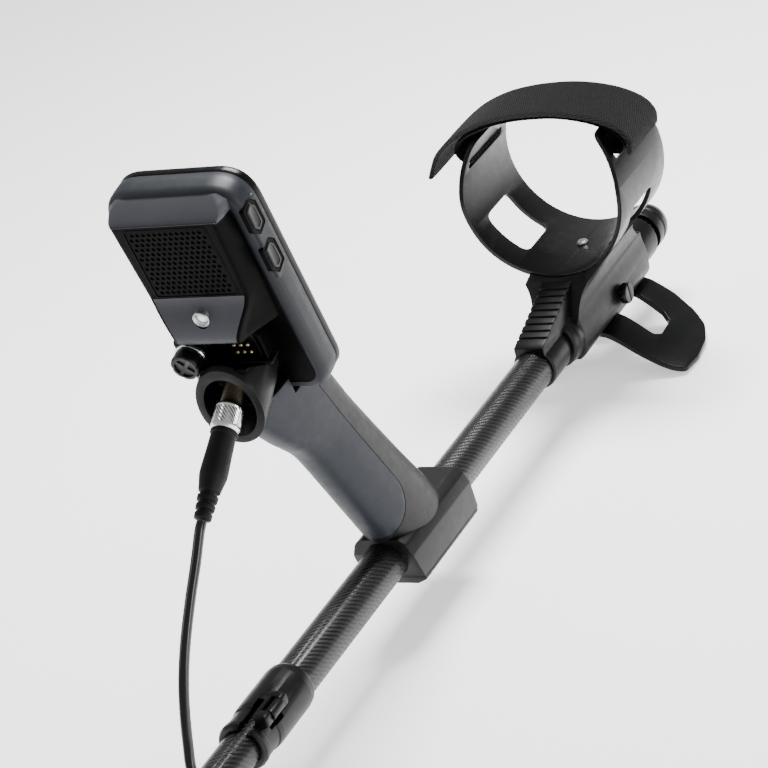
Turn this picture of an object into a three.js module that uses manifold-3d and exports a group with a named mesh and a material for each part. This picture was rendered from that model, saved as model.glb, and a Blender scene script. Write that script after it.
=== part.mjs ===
// Hand-held metal detector standing on its search coil and armrest stand.
// Millimetres, +Z up. The shaft runs along Y: the coil is at -Y, the armrest at +Y.
import * as THREE from 'three';
import { mergeVertices } from 'three/addons/utils/BufferGeometryUtils.js';
import Module from 'manifold-3d';

const wasm = await Module();
wasm.setup();

// ---- driving dimensions ----
const AXIS_Z = 52;              // height of the shaft axis above the floor
const CENTRE_Y = 43.5;          // brings the middle of the whole length to the origin
const GAP = 0.3;                // clearance between touching pieces
const UPPER_R = 12.5;           // carbon upper shaft, outer radius
const MIDDLE_R = 11;            // middle shaft, outer radius
const LOWER_R = 9.5;            // lower shaft, outer radius
const WALL = 1.2;               // tube wall
const UPPER_Y = [-49.6, 504];   // upper shaft ends
const MIDDLE_Y = [-319.6, 215]; // middle shaft ends, nearly collapsed
const LOWER_Y = [-436, -110];   // lower shaft ends, nearly collapsed
const LOCK_FRONT = -82;         // front face of the upper cam lock
const LOCK_STEP = -270;         // the lower cam lock sits this far ahead of the upper one
const POD_TILT = 13;            // pod leans toward the coil, degrees
const HANDLE_TILT = 27.6;       // handle leans toward the coil, degrees
const HANDLE_Y = 137;           // where the handle's centre line meets the shaft axis
const GRIP_HALF = [17.8, 22];   // handle half width, and half depth toward the palm
const POD_HALF = 43;            // pod half width
const POD_Z = [137, 277];       // pod's lower and upper end, along its length
const POD_BACK = 74;            // rear face of the pod's band
const POD_SPLIT = 90;           // joint between rear housing and bezel
const POD_FACE = 96;            // display side of the bezel
const PLUG_AT = [3, 158];       // mouth of the coil connector: y and height above the axis
const PLUG_TILT = 123.4;        // connector's outward direction, degrees from upright
const CUFF_Z = 89.5;            // centre of the arm cuff above the axis
const CUFF_R = 57.2;            // arm cuff, outer radius
const CUFF_WALL = 3;
const CUFF_Y = [382, 459];      // front and rear edge of the cuff
const COIL_Y = -478;            // centre of the search coil
const COIL_R = 140;
const PIVOT_Y = -474;           // coil hinge
const CABLE_R = 2.9;

const rad = THREE.MathUtils.degToRad;

// ---- solids ----
function solid(geometry) {
  geometry.deleteAttribute('normal');
  geometry.deleteAttribute('uv');
  const merged = mergeVertices(geometry, 1e-4);
  const points = Float32Array.from(merged.attributes.position.array);
  const faces = Uint32Array.from(merged.index.array);
  const build = () => new wasm.Manifold(new wasm.Mesh({
    numProp: 3, vertProperties: points, triVerts: faces,
  }));
  const first = build();
  if (first.volume() > 0) return first;
  for (let i = 0; i < faces.length; i += 3) {
    [faces[i], faces[i + 1]] = [faces[i + 1], faces[i]];
  }
  return build();
}

function box(x0, x1, y0, y1, z0, z1) {
  const g = new THREE.BoxGeometry(x1 - x0, y1 - y0, z1 - z0);
  g.translate((x0 + x1) / 2, (y0 + y1) / 2, (z0 + z1) / 2);
  return solid(g);
}

// a round bar along 'x', 'y' or 'z' from a to b; p and q place its centre on the other two axes
function bar(axis, r, a, b, p = 0, q = 0, sides = 24, r2 = r) {
  const g = new THREE.CylinderGeometry(r2, r, b - a, sides);
  g.translate(0, (a + b) / 2, 0);
  if (axis === 'x') g.rotateZ(-Math.PI / 2).translate(0, p, q);
  if (axis === 'y') g.translate(p, 0, q);
  if (axis === 'z') g.rotateX(Math.PI / 2).translate(p, q, 0);
  return solid(g);
}

// a turned body round the shaft axis; the profile lists radius and y, and closes on itself
function turned(profile, sides = 24) {
  const points = [...profile, profile[0]].map(([r, y]) => new THREE.Vector2(r, y));
  return solid(new THREE.LatheGeometry(points, sides));
}

function tube(outer, inner, y0, y1, sides = 28) {
  return turned([[inner, y0], [outer, y0], [outer, y1], [inner, y1]], sides);
}

// skin over a row of rings with the same number of points, flat ends
function loft(rings) {
  const n = rings[0].length;
  const points = rings.flat().flatMap((p) => [p[0], p[1], p[2]]);
  const faces = [];
  for (let k = 0; k + 1 < rings.length; k += 1) {
    for (let i = 0; i < n; i += 1) {
      const a = k * n + i;
      const b = k * n + ((i + 1) % n);
      faces.push(a, b, a + n, b, b + n, a + n);
    }
  }
  const flat = flatten(rings[0]);
  const cap = THREE.ShapeUtils.triangulateShape(flat, []);
  const turn = THREE.ShapeUtils.isClockWise(flat) ? -1 : 1;
  const last = (rings.length - 1) * n;
  for (const [a, b, c] of cap) {
    if (turn > 0) faces.push(a, c, b, last + a, last + b, last + c);
    else faces.push(a, b, c, last + a, last + c, last + b);
  }
  const g = new THREE.BufferGeometry();
  g.setAttribute('position', new THREE.Float32BufferAttribute(points, 3));
  g.setIndex(faces);
  const fixed = consistent(g, n, rings.length);
  return solid(fixed);
}

function flatten(ring) {
  const spread = [0, 1, 2].map((k) => {
    const values = ring.map((p) => p[k]);
    return Math.max(...values) - Math.min(...values);
  });
  const thin = spread.indexOf(Math.min(...spread));
  const [u, v] = [0, 1, 2].filter((k) => k !== thin);
  return ring.map((p) => new THREE.Vector2(p[u], p[v]));
}

// makes the end caps face the same way round as the skin
function consistent(g, n, count) {
  const index = Array.from(g.index.array);
  const skin = (count - 1) * n * 6;
  const edges = new Set();
  for (let i = 0; i < skin; i += 3) {
    for (let k = 0; k < 3; k += 1) edges.add(`${index[i + k]}_${index[i + ((k + 1) % 3)]}`);
  }
  for (const part of [0, 1]) {
    const base = part * (count - 1) * n;
    const mine = [];
    for (let i = skin; i < index.length; i += 3) {
      if (index[i] >= base && index[i] < base + n) mine.push(i);
    }
    const clash = mine.some((i) => [0, 1, 2].some((k) => (
      edges.has(`${index[i + k]}_${index[i + ((k + 1) % 3)]}`)
    )));
    if (clash) {
      for (const i of mine) [index[i], index[i + 1]] = [index[i + 1], index[i]];
    }
  }
  g.setIndex(index);
  return g;
}

// rounded rectangle as 2-D points, counter-clockwise; low and high corners may differ
function roundRect(halfX, z0, z1, rLow, rHigh, steps = 5) {
  const corners = [
    [halfX - rLow, z0 + rLow, rLow, -90], [halfX - rHigh, z1 - rHigh, rHigh, 0],
    [-halfX + rHigh, z1 - rHigh, rHigh, 90], [-halfX + rLow, z0 + rLow, rLow, 180],
  ];
  return corners.flatMap(([cx, cz, r, start]) => Array.from({ length: steps + 1 }, (_, i) => {
    const a = rad(start + (90 * i) / steps);
    return [cx + r * Math.cos(a), cz + r * Math.sin(a)];
  }));
}

// a flat outline pushed along an axis
function slab(outline, axis, a, b) {
  const place = {
    x: (p, d) => [d, p[0], p[1]],
    y: (p, d) => [p[0], d, p[1]],
    z: (p, d) => [p[0], p[1], d],
  }[axis];
  return loft([a, b].map((d) => outline.map((p) => place(p, d))));
}

function oval(cx, cy, z, a, front, back, count = 24) {
  return Array.from({ length: count }, (_, i) => {
    const t = (2 * Math.PI * (i + 0.5)) / count;
    const c = Math.cos(t);
    const s = Math.sin(t);
    const x = a * Math.sign(c) * Math.abs(c) ** 0.85;
    const y = (s < 0 ? front : back) * Math.sign(s) * Math.abs(s) ** 0.9;
    return [cx + x, cy + y, z];
  });
}

function cord(points, steps, radius = CABLE_R, sides = 8) {
  const path = new THREE.CatmullRomCurve3(points.map((p) => new THREE.Vector3(...p)));
  const ring = Array.from({ length: sides }, (_, i) => {
    const a = (2 * Math.PI * i) / sides;
    return new THREE.Vector2(radius * Math.cos(a), radius * Math.sin(a));
  });
  const shape = new THREE.Shape(ring);
  return solid(new THREE.ExtrudeGeometry(shape, {
    steps, extrudePath: path, bevelEnabled: false, curveSegments: 1,
  }));
}

function arc(r, from, to, steps) {
  return Array.from({ length: steps + 1 }, (_, i) => {
    const a = rad(from + ((to - from) * i) / steps);
    return [r * Math.cos(a), r * Math.sin(a)];
  });
}

// ---- meshes ----
const finishes = {
  carbon: [0x17181a, 0.25, 0.1],
  pod: [0x42464c, 0.55, 0],
  bezel: [0x0d0e10, 0.3, 0],
  grip: [0x4b5159, 0.7, 0],
  handle: [0x37393b, 0.5, 0],
  black: [0x141517, 0.4, 0],
  cuff: [0x1d1e20, 0.35, 0],
  rubber: [0x111111, 0.85, 0],
  steel: [0x9a9c9e, 0.35, 1],
  chrome: [0xd6d8da, 0.15, 1],
  gold: [0xd2a544, 0.3, 1],
  copper: [0xb06a3a, 0.4, 1],
  glass: [0x1b2220, 0.1, 0],
  lens: [0xe8edf2, 0.15, 0],
  board: [0x1f5a35, 0.6, 0],
  cable: [0x0c0c0d, 0.3, 0],
  strap: [0x0e0e10, 0.95, 0],
  cell: [0x2f5f9e, 0.5, 0],
};

// the largest body of a cut; the slivers a cut may shave off are dropped
function whole(body) {
  const bodies = body.decompose();
  return bodies.reduce((best, b) => (b.volume() > best.volume() ? b : best), bodies[0]);
}

function piece(parent, name, body, finish) {
  const mesh = whole(body).getMesh();
  const g = new THREE.BufferGeometry();
  g.setAttribute('position', new THREE.Float32BufferAttribute(Array.from(mesh.vertProperties), 3));
  g.setIndex(Array.from(mesh.triVerts));
  g.computeVertexNormals();
  const [color, roughness, metalness] = finishes[finish];
  const material = new THREE.MeshStandardMaterial({ color, roughness, metalness });
  const node = new THREE.Mesh(g, material);
  node.name = name;
  parent.add(node);
}

// ---- telescopic shaft ----
function shaftTubes(group) {
  piece(group, 'upper_shaft', tube(UPPER_R, UPPER_R - WALL, ...UPPER_Y), 'carbon');
  piece(group, 'middle_shaft', tube(MIDDLE_R, MIDDLE_R - 1.0, ...MIDDLE_Y), 'carbon');
  piece(group, 'lower_shaft', tube(LOWER_R, LOWER_R - WALL, ...LOWER_Y), 'carbon');
  piece(group, 'middle_shaft_bush', bushPlug(MIDDLE_R - 1.0 - 0.1, MIDDLE_R, MIDDLE_Y[1]), 'black');
  piece(group, 'lower_shaft_bush', bushPlug(LOWER_R - WALL - 0.1, LOWER_R, LOWER_Y[1]), 'black');
  piece(group, 'rear_end_cap', rearCap(), 'black');
}

// hollow plug in the rear end of a shaft, with a shoulder that butts on the tube
function bushPlug(spigot, shoulder, y) {
  return turned([
    [spigot - 2, y - 16], [spigot, y - 16], [spigot, y + 0.1], [shoulder, y + 0.1],
    [shoulder, y + 6], [spigot - 2, y + 6],
  ], 20);
}

function rearCap() {
  const plug = UPPER_R - WALL - 0.1;
  return turned([
    [0, 494], [plug, 494], [plug, 504.2], [15.4, 504.2], [15.4, 511], [14.6, 512], [14.6, 514],
    [15.2, 515], [14.6, 519], [12.6, 524], [8, 529], [0, 531],
  ]);
}

// clamp collar round the joint of two shafts; its lug carries the cam lever
function lockCollar(y, outer, inner, r) {
  const step = y + 32;
  const body = turned([
    [inner + GAP, y], [r - 2, y], [r - 0.4, y + 4], [r - 0.4, y + 18], [r, y + 20], [r, y + 54],
    [r - 1, y + 58], [outer + 0.6, y + 61], [outer + GAP, y + 61], [outer + GAP, step],
    [inner + GAP, step],
  ]);
  const lug = slab([[8, 6], [17, 9.5], [17, 16.5], [8, 17]], 'y', y + 7, y + 31);
  const slot = box(2, 9, y - 1, y + 26, 9, 30);
  const notch = box(11.2, 30, y + 12.5, y + 25.5, 5, 30);
  const hole = bar('y', 1.7, y, y + 40, 15, 13, 12);
  const keep = tube(r + 12, r - 1.6, y + 6, y + 32);
  return body.add(lug.intersect(keep)).subtract(slot).subtract(notch).subtract(hole);
}

// curved lever that hangs down beside the shaft when closed
function lockLever(y) {
  const line = [
    [15, 13], [17.8, 8], [18.6, 0], [19, -9], [20, -18], [22, -26], [25, -33],
  ];
  const outline = thicken(line, 2.1);
  const blade = slab(outline, 'y', y + 6, y + 30);
  const waist = box(10, 30, y, y + 12.9, 4.5, 30).add(box(10, 30, y + 25.1, y + 40, 4.5, 30));
  const eye = bar('y', 3.4, y + 13, y + 25, 15, 13, 16);
  const hole = bar('y', 1.7, y, y + 40, 15, 13, 12);
  const clear = bar('y', 16, y - 5, y + 60, 0, 0, 32);
  return blade.subtract(waist).subtract(clear).add(eye).subtract(hole);
}

function thicken(line, half) {
  const side = (sign) => line.map((p, i) => {
    const a = line[Math.max(i - 1, 0)];
    const b = line[Math.min(i + 1, line.length - 1)];
    const d = Math.hypot(b[0] - a[0], b[1] - a[1]);
    return [p[0] - (sign * half * (b[1] - a[1])) / d, p[1] + (sign * half * (b[0] - a[0])) / d];
  });
  return [...side(1), ...side(-1).reverse()];
}

function camLocks(group) {
  for (const [name, y, outer, inner, turn] of [
    ['upper', LOCK_FRONT, UPPER_R, MIDDLE_R, 0],
    ['lower', LOCK_FRONT + LOCK_STEP, MIDDLE_R, LOWER_R, 180],
  ]) {
    const lock = new THREE.Group();
    lock.rotation.y = rad(turn);
    group.add(lock);
    piece(lock, `${name}_lock_collar`, lockCollar(y, outer, inner, 15.3), 'black');
    piece(lock, `${name}_lock_lever`, lockLever(y), 'black');
    piece(lock, `${name}_lock_pin`, bar('y', 1.4, y + 8, y + 30, 15, 13, 12), 'steel');
  }
}

// ---- search coil ----
function coilOutline(r) {
  return Array.from({ length: 44 }, (_, i) => {
    const a = (2 * Math.PI * i) / 44;
    return [r * Math.cos(a), COIL_Y + r * Math.sin(a)];
  });
}

// D-shaped opening each side of the spine
function coilWindow(side, grow, z0, z1) {
  const r = 104 + grow;
  const flat = 34 - grow;
  const end = (Math.acos(flat / r) * 180) / Math.PI;
  const outline = arc(r, -end, end, 12).map(([x, y]) => [side * x, COIL_Y + y]);
  return slab(outline, 'z', z0, z1);
}

function coilShell() {
  const dome = loft([
    [COIL_R - 1.5, -49.4], [COIL_R, -46], [COIL_R, -40], [COIL_R - 3, -34.5], [COIL_R - 8, -32],
  ].map(([r, z]) => coilOutline(r).map(([x, y]) => [x, y, z])));
  let shell = dome.subtract(loft([[COIL_R - 4, -60], [COIL_R - 8, -37]].map(([r, z]) => (
    coilOutline(r).map(([x, y]) => [x, y, z])
  ))));
  for (const side of [-1, 1]) {
    shell = shell.add(coilWindow(side, 3, -49.4, -33)).subtract(coilWindow(side, 0, -60, -20));
  }
  for (const side of [-1, 1]) {
    const ear = slab([
      [-26, -38], [26, -38], [20, -30], [12, 4], [8, 9.5], [0, 12.5], [-8, 9.5], [-12, 4], [-20, -30],
    ].map(([y, z]) => [PIVOT_Y + y, z]), 'x', side > 0 ? 11 : -16.5, side > 0 ? 16.5 : -11);
    shell = shell.add(ear);
  }
  shell = shell.subtract(bar('x', 4.2, -30, 30, PIVOT_Y, 0));
  const gland = bar('y', 5.2, -428, -405, 24, -27, 16, 4.2);
  const foot = box(19.5, 28.5, -426, -408, -35, -27);
  return shell.add(foot).add(gland).subtract(bar('y', 3.3, -418, -400, 24, -27, 16));
}

function coilSkid() {
  let plate = loft([
    [COIL_R - 3, -52], [COIL_R - 1.5, -50.6], [COIL_R - 1.5, -49.7],
  ].map(([r, z]) => coilOutline(r).map(([x, y]) => [x, y, z])));
  for (const side of [-1, 1]) plate = plate.subtract(coilWindow(side, 0, -60, -40));
  return plate;
}

// D-shaped winding; the flat limbs of the two windings overlap under the spine
function winding(side, z0, z1) {
  const loop = (r, flat) => {
    const end = 180 - (Math.acos(flat / r) * 180) / Math.PI;
    return arc(r, -end, end, 22).map(([x, y]) => [side * x, COIL_Y + y]);
  };
  return slab(loop(124, 18), 'z', z0, z1).subtract(slab(loop(117, 11), 'z', z0 - 5, z1 + 5));
}

function coilYoke() {
  const spigot = bar('y', LOWER_R - WALL - 0.15, -452, -412, 0, 0, 24);
  const shoulder = bar('y', LOWER_R, -452, LOWER_Y[0] - 0.2, 0, 0, 24);
  const tongue = slab([
    [-446, -9], [PIVOT_Y, -11], [PIVOT_Y - 8, -8], [PIVOT_Y - 11, 0], [PIVOT_Y - 8, 8],
    [PIVOT_Y, 11], [-446, 9],
  ], 'x', -8, 8);
  return spigot.add(shoulder).add(tongue).subtract(bar('x', 4.2, -20, 20, PIVOT_Y, 0));
}

function coilFixings(group) {
  const bolt = bar('x', 3.8, -17, 27, PIVOT_Y, 0, 20).add(bar('x', 8, -21, -16.8, PIVOT_Y, 0, 20));
  piece(group, 'coil_bolt', bolt, 'black');
  const hub = bar('x', 8, 16.8, 25, PIVOT_Y, 0, 16);
  const wings = slab([[-19, -4], [0, -6], [19, -4], [19, 4], [0, 6], [-19, 4]].map(([y, z]) => (
    [PIVOT_Y + y, z]
  )), 'x', 18.5, 23.5);
  const bore = bar('x', 4.1, 10, 30, PIVOT_Y, 0, 16);
  piece(group, 'coil_wing_nut', hub.add(wings).subtract(bore), 'black');
  for (const [name, x] of [['left', 8.3], ['right', -10.7]]) {
    const ring = bar('x', 10, x, x + 2.4, PIVOT_Y, 0, 20);
    const hole = bar('x', 4.1, -30, 30, PIVOT_Y, 0, 12);
    piece(group, `coil_washer_${name}`, ring.subtract(hole), 'rubber');
  }
}

function searchCoil(group) {
  piece(group, 'coil_shell', coilShell(), 'black');
  piece(group, 'coil_skid_plate', coilSkid(), 'black');
  piece(group, 'transmit_winding', winding(1, -43, -39.5), 'copper');
  piece(group, 'receive_winding', winding(-1, -47.5, -44), 'copper');
  piece(group, 'coil_yoke', coilYoke(), 'black');
  coilFixings(group);
}

// ---- handle ----
// rings run along the handle's own length; the top flares forward under the pod
function handleRings(shrink) {
  const [a, b] = GRIP_HALF;
  const rows = [
    [6, a + 0.7, b + 5.5, b + 6], [60, a + 0.2, b + 5, b + 2.5], [112, a, b + 4.5, b],
    [128, a + 0.2, b + 6, b], [140, a + 0.7, b + 9, b], [152, a + 1.2, b + 12, b],
    [185, a + 1.2, b + 12, b],
  ];
  return rows.map(([h, x, f, r]) => oval(0, 0, h, x - shrink, f - shrink, r - shrink));
}

// where the soft overlay lies: front and sides, with a rounded lower end
function overlayZone(grow) {
  const back = -1 + grow;
  const low = 34 - grow;
  const high = 140 + grow;
  const outline = [[-60, high], [back, high], [back, low + 24]];
  for (let i = 1; i <= 6; i += 1) {
    const a = rad(15 * i);
    outline.push([back - 26 * (1 - Math.cos(a)), low + 24 - 24 * Math.sin(a)]);
  }
  outline.push([-60, low]);
  return slab(outline, 'x', -40, 40);
}

// the plane that ends the handle below the pod, in the handle's own frame
function belowPod(body) {
  const g = new THREE.BoxGeometry(200, 300, 100);
  g.translate(0, 80, POD_Z[0] - 2.5 + 50);
  toHandle(g);
  return body.subtract(solid(g));
}

function toHandle(g) {
  g.rotateX(rad(POD_TILT));
  g.translate(0, -HANDLE_Y, 0);
  g.rotateX(-rad(HANDLE_TILT));
}

function handleBlock() {
  const outline = [
    [-20.3, -12.7], [20.3, -12.7], [20.3, 5], [18, 11.5], [13, 15.5], [-13, 15.5], [-18, 11.5],
    [-20.3, 5],
  ];
  const section = (y, k) => outline.map(([x, z]) => [x * k, y, Math.max(z * k, -12.7)]);
  const block = loft([
    section(98, 0.93), section(103, 1), section(172, 1), section(181, 0.93),
  ]);
  return block.subtract(frontCut());
}

// the lower front edge of the clamp slants back
function frontCut() {
  return slab([[90, -25], [111.5, -25], [99, 4], [90, 4]], 'x', -30, 30);
}

function handle(group) {
  const frame = new THREE.Group();
  frame.position.set(0, HANDLE_Y, 0);
  frame.rotation.x = rad(HANDLE_TILT);
  group.add(frame);
  const turn = new THREE.Matrix4().makeRotationX(rad(HANDLE_TILT));
  turn.setPosition(0, HANDLE_Y, 0);
  const back = turn.clone().invert();
  const inHandle = (body) => body.transform(back.elements);

  const outer = belowPod(loft(handleRings(0)));
  const inner = loft(handleRings(2.2));
  const block = inHandle(handleBlock());
  const shroud = inHandle(connectorRoom(20.6));
  const shaftBore = inHandle(bar('y', UPPER_R + 0.25, 60, 240, 0, 0, 32));
  const cellBore = bar('z', 11.2, 62, 190, 0, -2, 24);
  const pocket = outer.subtract(loft(handleRings(1.9))).intersect(overlayZone(GAP));
  const screwHoles = [[15.4, 114], [-15.4, 172]].map(([x, y]) => (
    inHandle(bar('z', 1.7, -20, -4, x, y, 12))
  ));
  let body = outer.subtract(pocket).add(block).subtract(shaftBore).subtract(cellBore);
  body = body.subtract(shroud);
  for (const hole of screwHoles) body = body.subtract(hole);
  piece(frame, 'handle_body', body, 'handle');
  const blockRoom = inHandle(box(-30, 30, 90, 190, -30, 17.8));
  const grip = outer.subtract(loft(handleRings(1.6))).intersect(overlayZone(0));
  piece(frame, 'grip_overlay', grip.subtract(shroud).subtract(blockRoom), 'grip');
  const cell = bar('z', 10.5, 64, 131, 0, -2, 24).add(bar('z', 3.5, 130, 133, 0, -2, 12));
  piece(frame, 'battery_cell', cell, 'cell');
}

function clampCap(group) {
  const outline = [
    [-20.3, -13], [-20.3, -15.5], [-13, -19], [13, -19], [20.3, -15.5], [20.3, -13],
  ];
  const screws = [[15.4, 114, 'front'], [-15.4, 172, 'rear']];
  let plate = slab(outline, 'y', 103, 178).subtract(frontCut());
  for (const [x, y] of screws) plate = plate.subtract(bar('z', 1.7, -25, -10, x, y, 12));
  for (const [x, y] of screws) plate = plate.subtract(bar('z', 2.9, -25, -15, x, y, 16));
  piece(group, 'clamp_cap', plate, 'handle');
  for (const [x, y, name] of screws) {
    const screw = bar('z', 1.4, -15.5, -4.4, x, y, 12).add(bar('z', 2.6, -17.6, -15.2, x, y, 16));
    piece(group, `clamp_screw_${name}`, screw, 'steel');
  }
}

// ---- control pod (own frame: x across, y toward the user, z along its length) ----
function podRing(y, inset, rLow, rHigh) {
  const outline = roundRect(POD_HALF - inset, POD_Z[0] + inset, POD_Z[1] - inset, rLow, rHigh);
  return outline.map(([x, z]) => [x, y, z]);
}

// hump behind the band: widest at the band, flat grille face, chin jutting over the recess
function podHump() {
  const rows = [
    [191, 66, 20], [194.5, 51, 19.5], [196.5, 50, 20], [205, 54.5, 25], [212, 58.5, 28.5],
    [217, 60.5, 30], [264, 60.5, 32], [268.5, 62, 32], [273, 69, 33], [274.5, 73, 33],
  ];
  return loft(rows.map(([z, y, half]) => [
    [-38, 78, z], [-37.5, 73, z], [-half - 2.5, Math.min(y + 5, 74), z], [-half, y, z],
    [half, y, z], [half + 2.5, Math.min(y + 5, 74), z], [37.5, 73, z], [38, 78, z],
  ]));
}

// the round room the coil connector sits in, in the shaft's frame
function connectorRoom(r, from = -12, to = 60, sides = 28) {
  const g = new THREE.CylinderGeometry(r, r, to - from, sides);
  g.translate(0, -(from + to) / 2, 0);
  g.rotateX(Math.PI / 2);
  g.rotateX(rad(PLUG_TILT));
  g.translate(0, PLUG_AT[0], PLUG_AT[1]);
  return solid(g);
}

function sideButtonShape(z, grow) {
  const [h, w] = [8.2 + grow, 4.2 + grow];
  const y = 79.5;
  return [
    [y - w, z - h * 0.55], [y - w * 0.3, z - h], [y + w, z - h * 0.8],
    [y + w, z + h * 0.55], [y + w * 0.3, z + h], [y - w, z + h * 0.8],
  ];
}

const SIDE_BUTTONS = [['upper', 253.5], ['lower', 227.5]];

function podHousing(turn) {
  const inPod = (body) => body.transform(turn);
  let shell = loft([
    podRing(POD_BACK - 1, 4, 11, 16), podRing(POD_BACK + 1, 1, 13, 19),
    podRing(POD_BACK + 4, 0, 14, 20), podRing(POD_SPLIT - GAP, 0.4, 14, 20),
  ]);
  shell = shell.add(podHump());
  const neck = inPod(connectorRoom(20, -9, 62));
  const mouth = inPod(mouthCut());
  const podOnly = box(-60, 60, 20, 84, 100, 300);
  shell = shell.add(neck.subtract(mouth).intersect(podOnly));
  shell = shell.add(box(-16, 20.5, 62.5, 78, 169, 192)).add(box(-30, -10, 59, 78, 168, 190));
  shell = shell.subtract(loft([
    podRing(POD_BACK + 3, 3, 11, 17), podRing(POD_SPLIT + 5, 3, 11, 17),
  ]));
  shell = shell.subtract(box(-26, 26, 63, 78, 215, 266));
  shell = shell.subtract(box(-25, 25, 55, 62.1, 217.6, 266.4));
  shell = shell.subtract(bar('y', 4.7, 40, 63, 0, 206.5, 20)).subtract(bar('y', 3.3, 60, 80, 0, 206.5, 20));
  shell = shell.subtract(box(-0.6, 19.2, 55, 66.3, 171.4, 188));
  shell = shell.subtract(bar('y', 5.3, 50, 80, -20, 179, 20));
  shell = shell.subtract(bar('y', 9.8, 40, 57.9, -20, 179, 24));
  for (const [, z] of SIDE_BUTTONS) {
    shell = shell.subtract(slab(sideButtonShape(z, 0.4), 'x', 36, 50));
  }
  shell = shell.subtract(inPod(connectorRoom(15.5, -30, 20)));
  shell = shell.subtract(inPod(connectorRoom(6.6, 0, 64)));
  return shell;
}

// slanted cut that opens the shroud more on its upper side
function mouthCut() {
  const g = new THREE.BoxGeometry(80, 80, 60);
  g.translate(0, 0, 30);
  g.rotateX(-rad(30));
  g.rotateX(rad(PLUG_TILT));
  const out = [-Math.sin(rad(PLUG_TILT)), Math.cos(rad(PLUG_TILT))];
  g.translate(0, PLUG_AT[0] + out[0] * -3, PLUG_AT[1] + out[1] * -3);
  return solid(g);
}

const FACE_BUTTONS = [
  ['button_menu', 0, 168, 7.5, 5.5], ['button_left', -23, 166, 8, 5.5], ['button_right', 23, 166, 8, 5.5],
  ['button_minus', -14, 149, 9, 5], ['button_plus', 14, 149, 9, 5],
];

function faceOutline([, x, z, hx, hz], grow) {
  return roundRect(hx + grow, -hz - grow, hz + grow, 3 + grow, 3 + grow, 3).map(([u, v]) => (
    [x + u, z + v]
  ));
}

function podBezel() {
  let frame = loft([
    podRing(POD_SPLIT, 0.4, 14, 20), podRing(POD_FACE - 2.5, 0.2, 14, 20), podRing(POD_FACE, 2, 12, 18),
  ]);
  frame = frame.subtract(loft([
    podRing(POD_SPLIT - 5, 3, 11, 17), podRing(POD_FACE - 3, 3, 11, 17),
  ]));
  const opening = roundRect(36, 182, 269, 5, 10);
  frame = frame.subtract(slab(opening.map(([x, z]) => [x * 0.94, (z - 225) * 0.96 + 225]), 'y', 80, 99));
  frame = frame.subtract(slab(opening, 'y', POD_FACE - 1.5, 99));
  for (const button of FACE_BUTTONS) {
    frame = frame.subtract(slab(faceOutline(button, 0.4), 'y', 80, 99));
  }
  return frame;
}

function podFront(pod) {
  piece(pod, 'pod_bezel', podBezel(), 'bezel');
  const pane = roundRect(35.7, 182.3, 268.7, 5, 10);
  piece(pod, 'display_window', slab(pane, 'y', POD_FACE - 1.2, POD_FACE - 0.2), 'glass');
  piece(pod, 'lcd_module', box(-33, 33, 86.5, 91.8, 186, 264), 'black');
  piece(pod, 'main_board', box(-34.5, 34.5, 83.6, 85.2, 150, 262), 'board');
  for (const button of FACE_BUTTONS) {
    const cap = slab(faceOutline(button, 0), 'y', 88.5, 97.2);
    const flange = slab(faceOutline(button, 1.4), 'y', 88.5, 91.6);
    piece(pod, button[0], cap.add(flange), 'grip');
  }
  for (const [name, z] of SIDE_BUTTONS) {
    const cap = slab(sideButtonShape(z, 0), 'x', 37, 43.6);
    const room = box(30, 45, 77.4, 88, 200, 300);
    const flange = slab(sideButtonShape(z, 1.5), 'x', 36.5, 38.6).intersect(room);
    piece(pod, `side_button_${name}`, cap.add(flange), 'black');
  }
}

function podRear(pod, turn) {
  piece(pod, 'pod_rear_housing', podHousing(turn), 'pod');
  piece(pod, 'speaker_grille', box(-24.7, 24.7, 60.4, 61.8, 217.9, 266.1), 'black');
  const cone = bar('y', 20, 64, 68, 0, 241, 28, 14).add(bar('y', 9, 68, 74, 0, 241, 20));
  piece(pod, 'speaker_driver', cone, 'black');
  const lens = bar('y', 3, 56.8, 74, 0, 206.5, 20).add(bar('y', 4.3, 57.6, 61, 0, 206.5, 20));
  piece(pod, 'torch_lens', lens, 'lens');
  let block = box(-0.3, 18.9, 62.6, 64.6, 171.7, 187.7);
  let strip = box(0.5, 16, 65, 66, 172.5, 182.5);
  for (const x of [4.4, 8.7, 13]) {
    for (const z of [174.9, 180.1]) {
      block = block.subtract(bar('y', 1.5, 60, 70, x, z, 12));
      strip = strip.add(bar('y', 1.2, 62.2, 65.5, x, z, 12));
    }
  }
  piece(pod, 'contact_block', block, 'black');
  piece(pod, 'contact_strip', strip, 'gold');
  const socket = bar('y', 5, 55.5, 77, -20, 179, 20).subtract(bar('y', 3.4, 50, 70, -20, 179, 16));
  piece(pod, 'headphone_socket', socket, 'steel');
  let cap = bar('y', 8.6, 46.2, 54.2, -20, 179, 28).add(bar('y', 9.4, 54, 57.6, -20, 179, 28));
  cap = cap.subtract(bar('y', 5.3, 54.6, 60, -20, 179, 20));
  for (let i = 0; i < 6; i += 1) {
    const a = rad(60 * i);
    cap = cap.subtract(bar('y', 2, 44, 53, -20 + 9.4 * Math.cos(a), 179 + 9.4 * Math.sin(a), 10));
  }
  piece(pod, 'headphone_cap', cap, 'black');
}

function controlPod(group) {
  const pod = new THREE.Group();
  pod.rotation.x = rad(POD_TILT);
  group.add(pod);
  const turn = new THREE.Matrix4().makeRotationX(-rad(POD_TILT)).elements;
  podRear(pod, turn);
  podFront(pod);
}

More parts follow.
